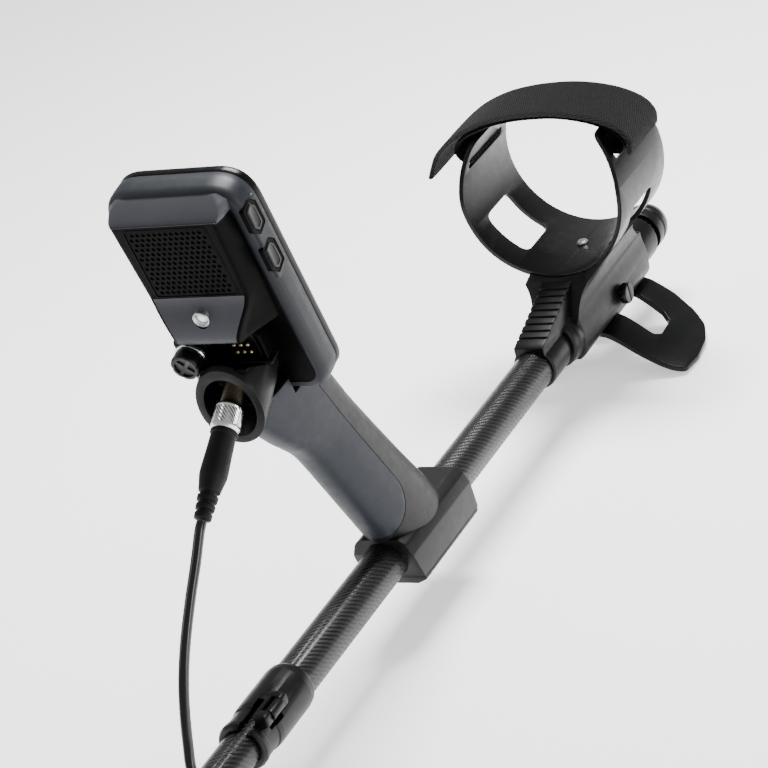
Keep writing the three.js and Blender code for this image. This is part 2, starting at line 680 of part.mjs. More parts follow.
// ---- coil connector (own frame: z points out of the socket) ----
function connector(group) {
  const plug = new THREE.Group();
  plug.position.set(0, ...PLUG_AT);
  plug.rotation.x = rad(PLUG_TILT);
  group.add(plug);
  const upright = (profile, sides) => {
    const points = [...profile, profile[0]].map(([r, y]) => new THREE.Vector2(r, y));
    return solid(new THREE.LatheGeometry(points, sides).rotateX(Math.PI / 2));
  };
  piece(plug, 'coil_socket', upright([
    [0, -40], [6.3, -40], [6.3, -20], [9, -20], [9, -17], [6.2, -17], [6.2, -1], [4.6, -1],
    [4.6, -14], [0, -14],
  ], 18), 'steel');
  piece(plug, 'connector_collar', upright([
    [6.5, -4], [7.8, -4], [8.1, -3], [8.1, 9], [7.6, 10.6], [4.6, 10.6], [4.6, 5], [6.5, 5],
  ], 24), 'chrome');
  const ribs = [];
  for (let i = 0; i < 3; i += 1) {
    const z = 48 + 5 * i;
    const r = 5.6 - 0.35 * i;
    ribs.push([r, z], [r, z + 3], [r - 0.9, z + 3], [r - 0.9, z + 5]);
  }
  piece(plug, 'connector_plug', upright([
    [0, -12], [4.2, -12], [4.2, 11], [7, 11], [7, 13], [7.2, 14], [7.2, 34], [7.6, 38], [7, 43],
    [5.4, 46.5], [4.9, 47.5], ...ribs, [0, 63],
  ], 16), 'rubber');
}

// ---- cable ----
function helix(r, y0, y1, turns, start) {
  const count = Math.round(Math.abs(turns) * 12);
  return Array.from({ length: count + 1 }, (_, i) => {
    const a = rad(start + (360 * turns * i) / count);
    return [r * Math.cos(a), y0 + ((y1 - y0) * i) / count, r * Math.sin(a)];
  });
}

const LEAD_ROUTE = [
  [0, -49.9, 123.1], [0, -55, 119.2], [0, -66, 108], [0, -82, 93], [0, -97, 77], [0, -108, 62],
  [0, -116, 47], [0.3, -122.5, 32], [2, -128.5, 21], [7.6, -133.2, 13.2], [12.9, -135.7, 7.5],
  [14.65, -137.5, 2.1],
];
const TAIL_ROUTE = [
  [14.65, -268.6, -2.1], [11.7, -270.7, -9.1], [1, -273.8, -15.1], [-11, -276.5, -11.2],
  [-16.5, -280, 0], [-14, -284, 12], [-6, -289, 19.5], [-1, -298, 21], [-1, -336, 21],
  [-1, -352, 20.5], [-1, -360, 16], [-6, -366, 11.5], [-12.5, -371, 3], [-11, -376, -7],
  [-1, -380, -13], [10, -384, -12], [18, -390, -17], [23, -397, -24], [24, -406, -27],
  [24, -417, -27],
];

function cables(group) {
  piece(group, 'cable_lead', cord(LEAD_ROUTE, 24), 'cable');
  piece(group, 'cable_middle_wrap', cord(helix(14.7, -138, -268, -5, 0), 60), 'cable');
  piece(group, 'cable_coil_tail', cord(TAIL_ROUTE, 44), 'cable');
  for (const [name, y] of [['upper', -156], ['lower', -262]]) {
    piece(group, `cable_tie_${name}`, tube(19.6, 18, y, y + 14, 24), 'strap');
  }
}

// ---- armrest ----
// sleeve round the rear of the shaft with a ribbed ramp and a saddle for the cuff
function armrestMount() {
  const sleeve = tube(16, UPPER_R + GAP, 349, 499);
  const nose = tube(14.6, UPPER_R + GAP, 321, 356);
  let ramp = slab([[320, 8], [320, 15.8], [381, 33.4], [381, 8]], 'x', -10.5, 10.5);
  for (let i = 0; i < 8; i += 1) {
    const y = 328 + 6 * i;
    const z = 15.8 + ((y - 320) * 17.6) / 61;
    ramp = ramp.subtract(box(-9.5, 9.5, y, y + 2.2, z - 0.3, z + 4));
  }
  const saddle = slab([[-14, 8], [14, 8], [19, 30], [19, 50], [-19, 50], [-19, 30]], 'y', 380, 452);
  const collar = loft([
    [352, 17.5, 17.5], [360, 18.5, 19], [478, 17.5, 17.5],
  ].map(([y, x, z]) => [
    [-x, y, -6], [-x + 7, y, -17], [x - 7, y, -17], [x, y, -6], [x, y, 6], [x - 5, y, z],
    [-x + 5, y, z], [-x, y, 6],
  ]));
  const cuffRoom = bar('y', CUFF_R + GAP + 0.1, 370, 470, 0, CUFF_Z, 72);
  const bore = bar('y', UPPER_R + GAP, 300, 510, 0, 0, 32);
  let body = nose.add(sleeve).add(ramp).add(saddle).add(collar);
  body = body.subtract(cuffRoom).subtract(bore);
  body = body.subtract(bar('x', 3.4, 10, 30, 425, -3, 16)).subtract(box(-8.4, 8.4, 402, 474, -19, -15.5));
  return body.subtract(bar('z', 1.6, 12, 60, 0, 425, 12));
}

function armCuff() {
  const inner = CUFF_R - CUFF_WALL;
  const ring = [...arc(CUFF_R, -220, 40, 44), ...arc(inner, -220, 40, 44).reverse()];
  let cuff = slab(ring.map(([x, z]) => [x, z + CUFF_Z]), 'y', ...CUFF_Y);
  const window = [[402, -59], [402, -21], [437, -21], [437, -59]];
  const radial = (pts) => loft([40, 70].map((r) => pts.map(([y, a]) => (
    [r * Math.cos(rad(a)), y, CUFF_Z + r * Math.sin(rad(a))]
  ))));
  const slit = [[398, 17.5], [398, 24.5], [450, 24.5], [450, 17.5]];
  for (const pts of [window, slit]) {
    cuff = cuff.subtract(radial(pts)).subtract(radial(pts.map(([y, a]) => [y, 180 - a])));
  }
  for (const side of [-1, 1]) {
    const g = slab([[370, 0], [382, 0], [396, 38], [396, 60], [370, 60]], 'x', 25, 70);
    cuff = cuff.subtract(side > 0 ? g.translate(0, 0, CUFF_Z) : g.scale([-1, 1, 1]).translate(0, 0, CUFF_Z));
  }
  return cuff.subtract(bar('z', 1.7, 20, 60, 0, 425, 12));
}

function standLegs() {
  const line = [[-60, -50], [-48, -44.5], [-34, -35], [-20, -24], [-8, -19.3], [8, -19.3], [20, -24],
    [34, -35], [48, -44.5], [60, -50]];
  const plate = slab(thicken(line, 2), 'y', 399, 477);
  const edge = [
    [9, 400], [55, 400], [60, 401.5], [62.8, 406], [63, 422], [61, 437], [57.5, 449], [51, 461],
    [42, 469], [30, 473.5], [9, 476],
  ];
  const plan = slab([...edge, ...edge.map(([x, y]) => [-x, y]).reverse()], 'z', -90, 0);
  let body = plate.intersect(plan).add(box(-8, 8, 402.4, 473.6, -20, -15.9));
  for (const side of [-1, 1]) {
    const window = slab([
      [10, 427], [12, 426], [33, 424.5], [35.5, 427], [35.5, 444], [32.5, 449], [12, 455], [10, 453.5],
    ].map(([x, y]) => [side * x, y]), 'z', -90, 0);
    body = body.subtract(window);
  }
  return body;
}

function armStrap() {
  const line = [
    [-83, 104], [-76, 115], [-66, 124], [-50, 132.5], [-34, 137.5], [-17, 140], [0, 141], [17, 140.5],
    [36, 137], [50, 132], [60, 125.5], [64.5, 118], [65, 109],
  ];
  const body = slab(thicken(line, 1.4), 'y', 396, 446);
  return body;
}

function armrest(group) {
  piece(group, 'armrest_mount', armrestMount(), 'black');
  piece(group, 'arm_cuff', armCuff(), 'cuff');
  piece(group, 'armrest_stand', standLegs(), 'black');
  piece(group, 'arm_strap', armStrap(), 'strap');
  const floor = CUFF_Z - CUFF_R + CUFF_WALL;
  const head = bar('z', 4, floor + 0.3, floor + 2, 0, 425, 20);
  const screw = bar('z', 1.3, 18, floor + 0.6, 0, 425, 12).add(head);
  piece(group, 'cuff_screw', screw, 'steel');
  let knob = bar('x', 3.1, 14, 20, 425, -3, 16).add(bar('x', 7, 18.8, 24, 425, -3, 20, 6.4));
  knob = knob.subtract(box(23, 30, 424.2, 425.8, -12, 6));
  piece(group, 'armrest_knob', knob, 'black');
}

const detector = new THREE.Group();
detector.name = 'metal_detector';
const shaft = new THREE.Group();
shaft.position.set(0, CENTRE_Y, AXIS_Z);
detector.add(shaft);
shaftTubes(shaft);
camLocks(shaft);
searchCoil(shaft);
handle(shaft);
clampCap(shaft);
controlPod(shaft);
connector(shaft);
cables(shaft);
armrest(shaft);

export default detector;
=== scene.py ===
# Metal detector: control pod, handle, carbon shaft, armrest and search coil.
import math

import bmesh
import bpy
from mathutils import Matrix, Vector


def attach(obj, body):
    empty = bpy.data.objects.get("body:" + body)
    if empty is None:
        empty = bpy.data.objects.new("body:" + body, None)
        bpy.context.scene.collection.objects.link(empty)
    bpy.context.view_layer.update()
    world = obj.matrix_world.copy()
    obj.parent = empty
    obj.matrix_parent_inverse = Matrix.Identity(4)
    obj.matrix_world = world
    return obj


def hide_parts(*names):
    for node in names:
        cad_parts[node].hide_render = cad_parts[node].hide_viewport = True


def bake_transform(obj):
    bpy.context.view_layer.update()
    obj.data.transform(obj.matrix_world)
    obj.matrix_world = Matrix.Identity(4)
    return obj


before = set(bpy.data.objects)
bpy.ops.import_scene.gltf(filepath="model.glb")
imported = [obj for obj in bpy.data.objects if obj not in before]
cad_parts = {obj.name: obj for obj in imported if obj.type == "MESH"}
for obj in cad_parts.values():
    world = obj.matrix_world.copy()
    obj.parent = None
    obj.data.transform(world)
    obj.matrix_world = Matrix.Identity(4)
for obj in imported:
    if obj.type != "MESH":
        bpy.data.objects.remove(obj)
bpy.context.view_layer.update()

# ---- frames: millimetres in the script, metres in the scene ----
CENTRE_Y = 43.5
AXIS_Z = 52.0
TO_METRES = Matrix.Scale(0.001, 4)
SHAFT = TO_METRES @ Matrix.Translation((0, CENTRE_Y, AXIS_Z))
POD = SHAFT @ Matrix.Rotation(math.radians(13), 4, "X")
HANDLE = SHAFT @ Matrix.Translation((0, 137, 0)) @ Matrix.Rotation(math.radians(27.6), 4, "X")
PLUG = SHAFT @ Matrix.Translation((0, 3, 158)) @ Matrix.Rotation(math.radians(123.4), 4, "X")
LOWER_LOCK = SHAFT @ Matrix.Rotation(math.pi, 4, "Y")

UPPER_R, MIDDLE_R, LOWER_R = 12.5, 11.0, 9.5
CUFF_Z, CUFF_R, CUFF_WALL = 89.5, 57.2, 3.0
COIL_Y, COIL_R, PIVOT_Y = -478.0, 140.0, -474.0
CABLE_D = 5.8


# ---- camera ----
def add_camera():
    data = bpy.data.cameras.new("camera")
    data.lens = 142.72
    data.sensor_width = 36.0
    camera = bpy.data.objects.new("camera", data)
    turn = Matrix((
        (0.864159, 0.019595, 0.502838),
        (0.425152, 0.506145, -0.750375),
        (-0.269212, 0.862226, 0.429058),
    )).to_4x4()
    camera.matrix_world = Matrix.Translation((0.88655, -1.12662, 0.89666)) @ turn
    bpy.context.scene.collection.objects.link(camera)
    bpy.context.scene.camera = camera


# ---- mesh tools ----
def new_object(name, mesh):
    obj = bpy.data.objects.new(name, mesh)
    bpy.context.scene.collection.objects.link(obj)
    return obj


def from_bmesh(name, bm):
    bmesh.ops.remove_doubles(bm, verts=bm.verts, dist=1e-7)
    bmesh.ops.recalc_face_normals(bm, faces=bm.faces)
    mesh = bpy.data.meshes.new(name)
    bm.to_mesh(mesh)
    bm.free()
    return new_object(name, mesh)


def apply_modifiers(obj):
    graph = bpy.context.evaluated_depsgraph_get()
    mesh = bpy.data.meshes.new_from_object(obj.evaluated_get(graph))
    obj.modifiers.clear()
    old = obj.data
    obj.data = mesh
    bpy.data.meshes.remove(old)
    return obj


def combine(obj, other, operation="DIFFERENCE"):
    step = obj.modifiers.new("combine", "BOOLEAN")
    step.operation = operation
    step.solver = "EXACT"
    step.object = other
    apply_modifiers(obj)
    bpy.data.objects.remove(other)
    return obj


def cut(obj, *tools):
    for tool in tools:
        combine(obj, tool)
    return obj


def join(obj, part):
    return combine(obj, part, "UNION")


def bevel(obj, width, segments=3, angle=35):
    step = obj.modifiers.new("bevel", "BEVEL")
    step.width = width * 0.001
    step.segments = segments
    step.limit_method = "ANGLE"
    step.angle_limit = math.radians(angle)
    step.miter_outer = "MITER_ARC"
    return apply_modifiers(obj)


def bend(obj, rule):
    """Moves every corner by a rule that takes and gives millimetres in the shaft frame."""
    back = SHAFT.inverted()
    for v in obj.data.vertices:
        v.co = SHAFT @ Vector(rule(*(back @ v.co)))
    obj.data.update()
    return obj


def columns(obj, places):
    """Adds cuts across a flat plate, square to x, so that it can bend smoothly."""
    bm = bmesh.new()
    bm.from_mesh(obj.data)
    normal = SHAFT.to_3x3() @ Vector((1.0, 0.0, 0.0))
    for x in places:
        parts = bm.verts[:] + bm.edges[:] + bm.faces[:]
        point = SHAFT @ Vector((x, 0.0, 0.0))
        bmesh.ops.bisect_plane(bm, geom=parts, plane_co=point, plane_no=normal, dist=1e-8)
    bm.to_mesh(obj.data)
    bm.free()


# ---- outlines ----
def rounded(points, radius, steps=5):
    """A closed outline with its corners rounded; radius is one number or one for each corner."""
    radii = radius if isinstance(radius, (list, tuple)) else [radius] * len(points)
    out = []
    count = len(points)
    for i, r in enumerate(radii):
        p = Vector(points[i])
        to_a = Vector(points[i - 1]) - p
        to_b = Vector(points[(i + 1) % count]) - p
        if r <= 0:
            out.append(tuple(p))
            continue
        half = to_a.angle(to_b) / 2
        reach = min(r / math.tan(half), to_a.length * 0.49, to_b.length * 0.49)
        a = p + to_a.normalized() * reach
        b = p + to_b.normalized() * reach
        for k in range(steps + 1):
            t = k / steps
            out.append(tuple(a.lerp(p, t).lerp(p.lerp(b, t), t)))
    return out


def rect(x0, x1, y0, y1):
    return [(x0, y0), (x1, y0), (x1, y1), (x0, y1)]


def turns(count):
    return [2 * math.pi * i / count for i in range(count)]


def circle(r, cx=0.0, cy=0.0, count=48):
    return [(cx + r * math.cos(t), cy + r * math.sin(t)) for t in turns(count)]


def arc(r, start, end, steps):
    angles = [math.radians(start + (end - start) * i / steps) for i in range(steps + 1)]
    return [(r * math.cos(a), r * math.sin(a)) for a in angles]


def mirrored(points):
    return [(-x, y) for x, y in points[::-1]]


def inset(outline, amount):
    """Moves a closed outline inward by the mean of its neighbouring edge normals."""
    area = sum(a[0] * b[1] - b[0] * a[1] for a, b in zip(outline, outline[1:] + outline[:1]))
    side = 1 if area > 0 else -1
    out = []
    for i, p in enumerate(outline):
        a = Vector(outline[i - 1])
        b = Vector(outline[(i + 1) % len(outline)])
        along = (b - a).normalized()
        out.append((p[0] - side * along.y * amount, p[1] + side * along.x * amount))
    return out


def smooth_rows(rows, steps):
    """Catmull-Rom points through rows of numbers."""
    out = []
    last = len(rows) - 1
    for i in range(last):
        p0, p1, p2, p3 = (rows[max(i - 1, 0)], rows[i], rows[i + 1], rows[min(i + 2, last)])
        for k in range(steps):
            t = k / steps
            out.append([
                0.5 * (2 * b + (c - a) * t + (2 * a - 5 * b + 4 * c - d) * t * t
                       + (3 * b - a - 3 * c + d) * t ** 3)
                for a, b, c, d in zip(p0, p1, p2, p3)
            ])
    out.append(list(rows[-1]))
    return out


# ---- solids ----
def loft(name, rings, place=SHAFT, closed=False):
    """Skin over rings of equal length; flat ends unless the row of rings is closed."""
    bm = bmesh.new()
    rows = [[bm.verts.new(place @ Vector(p)) for p in ring] for ring in rings]
    for a, b in zip(rows, rows[1:] + rows[:1] if closed else rows[1:]):
        for i in range(len(a)):
            j = (i + 1) % len(a)
            bm.faces.new((a[i], a[j], b[j], b[i]))
    if not closed:
        bm.faces.new(rows[0][::-1])
        bm.faces.new(rows[-1])
    return from_bmesh(name, bm)


AXES = {
    "x": lambda p, d: (d, p[0], p[1]),
    "y": lambda p, d: (p[0], d, p[1]),
    "z": lambda p, d: (p[0], p[1], d),
}


def rim(at, edge, steps):
    """Rows of height and inset that round one rim; a negative edge is for the far side."""
    if not edge:
        return [(at, 0.0)]
    angles = [math.radians(90 * k / steps) for k in range(steps + 1)]
    return [(at + edge * (1 - math.cos(t)), abs(edge) * (1 - math.sin(t))) for t in angles]


def prism(name, outline, axis, a, b, place=SHAFT, edge=0.0, edge_b=None, steps=4):
    """A flat outline pushed from a to b, with rounded rims of the given radii."""
    edge_b = edge if edge_b is None else edge_b
    stations = rim(a, edge, steps) + rim(b, -edge_b, steps)[::-1]
    rings = [[AXES[axis](p, d) for p in inset(outline, s)] for d, s in stations]
    return loft(name, rings, place)


def box(name, x0, x1, y0, y1, z0, z1, place=SHAFT, edge=0.0):
    obj = loft(name, [[(x, y, z) for x, y in rect(x0, x1, y0, y1)] for z in (z0, z1)], place)
    return bevel(obj, edge) if edge else obj


def lathe(name, profile, place=SHAFT, axis="y", sides=64, at=(0.0, 0.0), closed=False):
    """A turned body: rows of radius and place along the axis, with a map of it in millimetres."""
    bm = bmesh.new()
    uv = bm.loops.layers.uv.new("map")
    rows = [[bm.verts.new(place @ Vector(AXES[axis](p, h))) for p in circle(r, *at, sides)]
            for r, h in profile]
    for k in range(len(rows) if closed else len(rows) - 1):
        a, b = rows[k], rows[(k + 1) % len(rows)]
        (ra, ha), (rb, hb) = profile[k], profile[(k + 1) % len(profile)]
        around = max(ra, rb, 0.5)
        for i in range(sides):
            j = (i + 1) % sides
            face = bm.faces.new((a[i], a[j], b[j], b[i]))
            for loop, turn, h in zip(face.loops, (i, i + 1, i + 1, i), (ha, ha, hb, hb)):
                loop[uv].uv = (2 * math.pi * turn / sides * around, h)
    return from_bmesh(name, bm)


def rod(r, a, b, axis="y", at=(0.0, 0.0), place=SHAFT, sides=64):
    """A plain cylinder from a to b along an axis, mostly a drill for holes and bores."""
    return lathe("rod", [(0, a), (r, a), (r, b), (0, b)], place, axis, sides, at)


def soften(profile, radius, steps=3):
    """Rounds the inner corners of an open profile."""
    radii = [0.0] + [radius] * (len(profile) - 2) + [0.0]
    return rounded(profile, radii, steps)


def tube_along(name, points, radius, sides):
    """A round tube swept along points, closed at both ends."""
    path = [Vector(p) for p in points]
    rings = []
    normal = Vector((1, 0, 0))
    for i, p in enumerate(path):
        along = (path[min(i + 1, len(path) - 1)] - path[max(i - 1, 0)]).normalized()
        normal = (normal - along * normal.dot(along)).normalized()
        other = along.cross(normal)
        rings.append([p + (normal * math.cos(t) + other * math.sin(t)) * radius for t in turns(sides)])
    return loft(name, rings)


# ---- finishing a piece ----
def done(obj, body, material, replaces=(), angle=40, plain=False):
    if not obj.data.materials:
        obj.data.materials.append(material)
    if not plain:
        obj.data.shade_smooth()
        obj.data.set_sharp_from_angle(angle=math.radians(angle))
    if isinstance(body, tuple):
        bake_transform(obj)
    else:
        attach(obj, body)
    if replaces:
        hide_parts(*replaces)
    return obj


# ---- materials ----
class Nodes:
    """Small helper that builds a material's node tree."""

    def __init__(self, name):
        self.material = bpy.data.materials.new(name)
        self.material.use_nodes = True
        self.tree = self.material.node_tree
        self.shader = self.tree.nodes["Principled BSDF"]

    def add(self, kind, **values):
        node = self.tree.nodes.new(kind)
        for key, value in values.items():
            setattr(node, key, value)
        return node

    def link(self, a, b):
        self.tree.links.new(a, b)

    def math(self, operation, a, b=None):
        node = self.add("ShaderNodeMath", operation=operation)
        for socket, value in zip(node.inputs, (a, b)):
            if value is None:
                continue
            if isinstance(value, (int, float)):
                socket.default_value = value
            else:
                self.link(value, socket)
        return node.outputs[0]

    def times(self, a, b):
        return self.math("MULTIPLY", a, b)

    def plus(self, a, b):
        return self.math("ADD", a, b)

    def coords(self, output="Object"):
        return self.add("ShaderNodeTexCoord").outputs[output]

    def noise(self, size, detail=3.0, rough=0.5):
        """Noise with features of the given size in metres."""
        node = self.add("ShaderNodeTexNoise")
        node.inputs["Scale"].default_value = 1.0 / size
        node.inputs["Detail"].default_value = detail
        node.inputs["Roughness"].default_value = rough
        self.link(self.coords(), node.inputs["Vector"])
        return node.outputs[0]

    def span(self, value, low, high, start=0.3, end=0.7):
        node = self.add("ShaderNodeMapRange")
        self.link(value, node.inputs[0])
        for i, number in enumerate((start, end, low, high)):
            node.inputs[i + 1].default_value = number
        return node.outputs[0]

    def mix(self, factor, a, b):
        node = self.add("ShaderNodeMix", data_type="RGBA")
        self.link(factor, node.inputs[0])
        for socket, value in ((node.inputs[6], a), (node.inputs[7], b)):
            if isinstance(value, tuple):
                socket.default_value = (*value, 1.0)
            else:
                self.link(value, socket)
        return node.outputs[2]

    def bump(self, height, strength, depth):
        node = self.add("ShaderNodeBump")
        node.inputs["Strength"].default_value = strength
        node.inputs["Distance"].default_value = depth
        self.link(height, node.inputs["Height"])
        self.link(node.outputs[0], self.shader.inputs["Normal"])

    def paint(self, value):
        self.link(value, self.shader.inputs["Base Color"])

    def gloss(self, value):
        self.link(value, self.shader.inputs["Roughness"])

    def set(self, **values):
        for key, value in values.items():
            self.shader.inputs[key.replace("_", " ")].default_value = value


def shade(color, k):
    return tuple(min(c * k, 1.0) for c in color)


def moulded(name, color, rough, grain=0.0004, depth=0.00004, coat=0.0, wear=0.12, spec=0.5):
    """Moulded plastic: fine grain, faint mottling and handling marks in the gloss."""
    n = Nodes(name)
    cloud = n.noise(0.02, 4)
    fine = n.noise(grain, 3, 0.6)
    base = n.mix(n.span(cloud, 0, 1), shade(color, 1 - wear), shade(color, 1 + wear))
    n.paint(n.mix(n.span(fine, 0, 1), base, shade(color, 1 + 1.5 * wear)))
    smear = n.noise(0.006, 5, 0.65)
    n.gloss(n.span(smear, rough - 0.05, rough + 0.07))
    n.bump(fine, 0.6, depth)
    n.set(Coat_Weight=coat, Coat_Roughness=0.12, Specular_IOR_Level=spec)
    return n.material


def metal(name, color, rough, plating=0.0):
    n = Nodes(name)
    cloud = n.noise(0.004, 4)
    streaks = n.noise(0.0006, 2)
    n.paint(n.mix(n.span(cloud, 0, 1), shade(color, 0.88), color))
    n.gloss(n.span(streaks, rough - 0.04, rough + 0.1))
    n.bump(streaks, 0.15, 0.00003)
    n.set(Metallic=1.0, Coat_Weight=plating)
    return n.material


def carbon(name, tow):
    """Twill-woven carbon tube under clear resin; the weave follows the tube's own map. Warp and weft are
    painted in two tones as painted light, and each tow is painted darker toward its edges as painted shade.
    """
    n = Nodes(name)
    split = n.add("ShaderNodeSeparateXYZ")
    n.link(n.coords("UV"), split.inputs[0])
    u = n.math("DIVIDE", split.outputs[0], tow)
    v = n.math("DIVIDE", split.outputs[1], tow)
    step = n.plus(n.math("FLOOR", u), n.math("FLOOR", v))
    over = n.math("LESS_THAN", n.math("FLOORED_MODULO", step, 4.0), 2.0)

    def crown(value):
        centred = n.math("SUBTRACT", n.math("FRACT", value), 0.5)
        return n.math("SUBTRACT", 1.0, n.times(n.times(centred, centred), 4.0))

    warp = crown(u)
    weft = crown(v)
    height = n.plus(n.times(over, warp),
                    n.times(n.math("SUBTRACT", 1.0, over), weft))
    fibres = n.noise(0.00035, 2, 0.6)
    # Painted light: warp and weft tows get different blacks, as if each caught the light differently.
    warp_weft_painted_light = n.mix(over, (0.0008, 0.0008, 0.001), (0.004, 0.0041, 0.0045))
    # Painted shade: each tow darkens toward its edges, where its crown falls away.
    tow_edge_painted_shade = n.span(height, 0, 1, 0.0, 0.45)
    weave_with_painted_shade = n.mix(tow_edge_painted_shade, (0.0005, 0.0005, 0.0006), warp_weft_painted_light)
    n.paint(n.mix(n.span(fibres, 0, 0.3), weave_with_painted_shade, (0.007, 0.0072, 0.008)))
    n.gloss(n.plus(n.times(over, 0.12), 0.24))
    n.bump(height, 0.8, 0.0001)
    n.set(Coat_Weight=0.2, Coat_Roughness=0.16, Specular_IOR_Level=0.3)
    return n.material


def webbing(name, pitch, color):
    """Hook-and-loop webbing: ribs across the strap, short loops on every rib; the colour follows the
    height, with painted shade in the hollows and painted highlight on the crowns.
    """
    n = Nodes(name)
    split = n.add("ShaderNodeSeparateXYZ")
    n.link(n.coords("UV"), split.inputs[0])
    along = n.times(split.outputs[0], 2 * math.pi / pitch)
    across = n.times(split.outputs[1], 2 * math.pi / pitch)
    ribs = n.math("SINE", n.plus(along, n.times(across, 0.35)))
    loops = n.math("SINE", n.math("SUBTRACT", n.times(across, 0.9),
                                  n.times(along, 0.3)))
    grid = n.times(n.plus(ribs, 1.0), n.plus(loops, 1.2))
    fuzz = n.noise(0.0005, 4, 0.7)
    height = n.plus(n.times(grid, 0.3), n.times(fuzz, 0.6))
    # Painted shade and highlight: the colour follows the height of ribs, loops and fuzz, a quarter of the
    # strap's colour in the hollows and twice it on the crowns.
    n.paint(n.mix(n.span(height, 0, 1, 0.3, 1.4), shade(color, 0.25), shade(color, 2.0)))
    n.bump(height, 1.0, 0.0005)
    n.set(Roughness=0.85, Sheen_Weight=0.05, Sheen_Roughness=0.4, Specular_IOR_Level=0.12)
    return n.material


def lens(name):
    n = Nodes(name)
    rings = n.noise(0.0015, 2)
    n.paint(n.mix(n.span(rings, 0, 1), (0.8, 0.84, 0.88), (1.0, 1.0, 1.0)))
    n.set(Roughness=0.06, Coat_Weight=1.0, Coat_Roughness=0.02, Specular_IOR_Level=0.8)
    # Painted glow: a faint emission makes the lens surface itself brighter.
    n.set(Emission_Color=(0.9, 0.95, 1.0, 1.0), Emission_Strength=0.35)
    return n.material


def pane(name):
    n = Nodes(name)
    haze = n.noise(0.01, 3)
    n.gloss(n.span(haze, 0.03, 0.08))
    n.set(Base_Color=(0.5, 0.52, 0.5, 1.0), Transmission_Weight=0.92, IOR=1.48, Coat_Weight=1.0)
    return n.material


def board(name):
    n = Nodes(name)
    tracks = n.add("ShaderNodeTexBrick")
    tracks.inputs["Scale"].default_value = 260.0
    tracks.inputs["Color1"].default_value = (0.012, 0.09, 0.035, 1)
    tracks.inputs["Color2"].default_value = (0.016, 0.11, 0.045, 1)
    tracks.inputs["Mortar"].default_value = (0.03, 0.18, 0.07, 1)
    n.link(n.coords(), tracks.inputs["Vector"])
    n.paint(tracks.outputs[0])
    n.set(Roughness=0.35, Coat_Weight=0.4)
    return n.material


def floor_material():
    n = Nodes("floor_pale")
    n.paint(n.mix(n.noise(0.4, 2), (0.93, 0.93, 0.93), (0.95, 0.95, 0.95)))
    n.set(Roughness=0.9, Specular_IOR_Level=0.1)
    n.set(Emission_Color=(1.0, 1.0, 1.0, 1.0), Emission_Strength=0.7)
    return n.material


CARBON = carbon("carbon_twill", 0.95)
BAND = moulded("pod_blue_grey", (0.011, 0.013, 0.016), 0.42, grain=0.0003, depth=0.00002, spec=0.22)
# The band's blue-grey painted about four times lighter: painted light on the hump's slab and chin.
BLUE_GREY_PAINTED_LIT = moulded("pod_blue_grey_painted_lit", (0.048, 0.049, 0.058), 0.40, grain=0.0003, depth=0.00002, spec=0.22)
PANEL = moulded("pod_black", (0.0006, 0.0006, 0.0007), 0.40, grain=0.0003, depth=0.00002, spec=0.04)
HOOD = moulded("hood_dark", (0.0036, 0.0037, 0.0042), 0.38, grain=0.0003, depth=0.00002, spec=0.18)
BEZEL = moulded("bezel_black", (0.001, 0.001, 0.0011), 0.24, depth=0.00001, spec=0.15)
GRIP = moulded("grip_soft", (0.012, 0.014, 0.019), 0.5, grain=0.00035, depth=0.00005, spec=0.2)
HANDLE_SHELL = moulded("handle_shell", (0.0068, 0.0068, 0.007), 0.42, depth=0.00003, spec=0.18)
CLAMP = moulded("clamp_satin", (0.0049, 0.0047, 0.0052), 0.36, depth=0.00003, spec=0.2)
BLACK = moulded("black_satin", (0.001, 0.001, 0.0012), 0.34, depth=0.00003, spec=0.25)
CUFF = moulded("cuff_satin", (0.0014, 0.0015, 0.0018), 0.3, grain=0.0005, depth=0.00002, spec=0.22)
MOUNT = moulded("armrest_satin", (0.0014, 0.0015, 0.0018), 0.34, depth=0.00003, spec=0.16)
COIL = moulded("coil_black", (0.0016, 0.0017, 0.002), 0.42, grain=0.0006, depth=0.00006, spec=0.2)
RUBBER = moulded("rubber", (0.0016, 0.0016, 0.0018), 0.55, grain=0.0003, spec=0.2)
CABLE = moulded("cable_gloss", (0.001, 0.001, 0.0011), 0.2, grain=0.0012, depth=0.00002, spec=0.5)
LINER = moulded("liner_black", (0.003, 0.003, 0.003), 0.8)
STEEL = metal("steel", (0.56, 0.57, 0.58), 0.3)
CHROME = metal("chrome", (0.80, 0.80, 0.80), 0.16, plating=0.3)
GOLD = metal("gold", (0.66, 0.50, 0.27), 0.25)
# Brass darkened far below its own colour: painted shade for the socket deep in the hood's mouth.
BRASS_IN_PAINTED_SHADE = metal("brass_in_painted_shade", (0.05, 0.04, 0.026), 0.35)
COPPER = metal("copper", (0.62, 0.30, 0.16), 0.35)
STRAP = webbing("hook_loop_weave", 1.5, (0.0032, 0.0032, 0.0038))
TIE = webbing("tie_weave", 1.3, (0.006, 0.006, 0.007))
LENS = lens("torch_lens_clear_painted_glow")
PANE = pane("display_pane")
BOARD = board("circuit_board")
CELL = moulded("cell_sleeve", (0.05, 0.13, 0.32), 0.3, coat=0.5)
LCD = moulded("lcd_grey", (0.16, 0.19, 0.15), 0.4, grain=0.0002, depth=0.000005)
INK = moulded("lcd_ink", (0.012, 0.014, 0.012), 0.5)
ICON = moulded("icon_print", (0.55, 0.56, 0.57), 0.5)


# ---- stage ----
def area_light(name, place, size, tall, power):
    """A rectangular lamp that looks at the middle of the part."""
    data = bpy.data.lights.new(name, "AREA")
    data.energy = power
    data.shape = "RECTANGLE"
    data.size = size
    data.size_y = tall
    lamp = bpy.data.objects.new(name, data)
    lamp.location = place
    away = Vector(place) - Vector((0.0, 0.12, 0.2))
    lamp.rotation_euler = away.to_track_quat("Z", "Y").to_euler()
    bpy.context.scene.collection.objects.link(lamp)


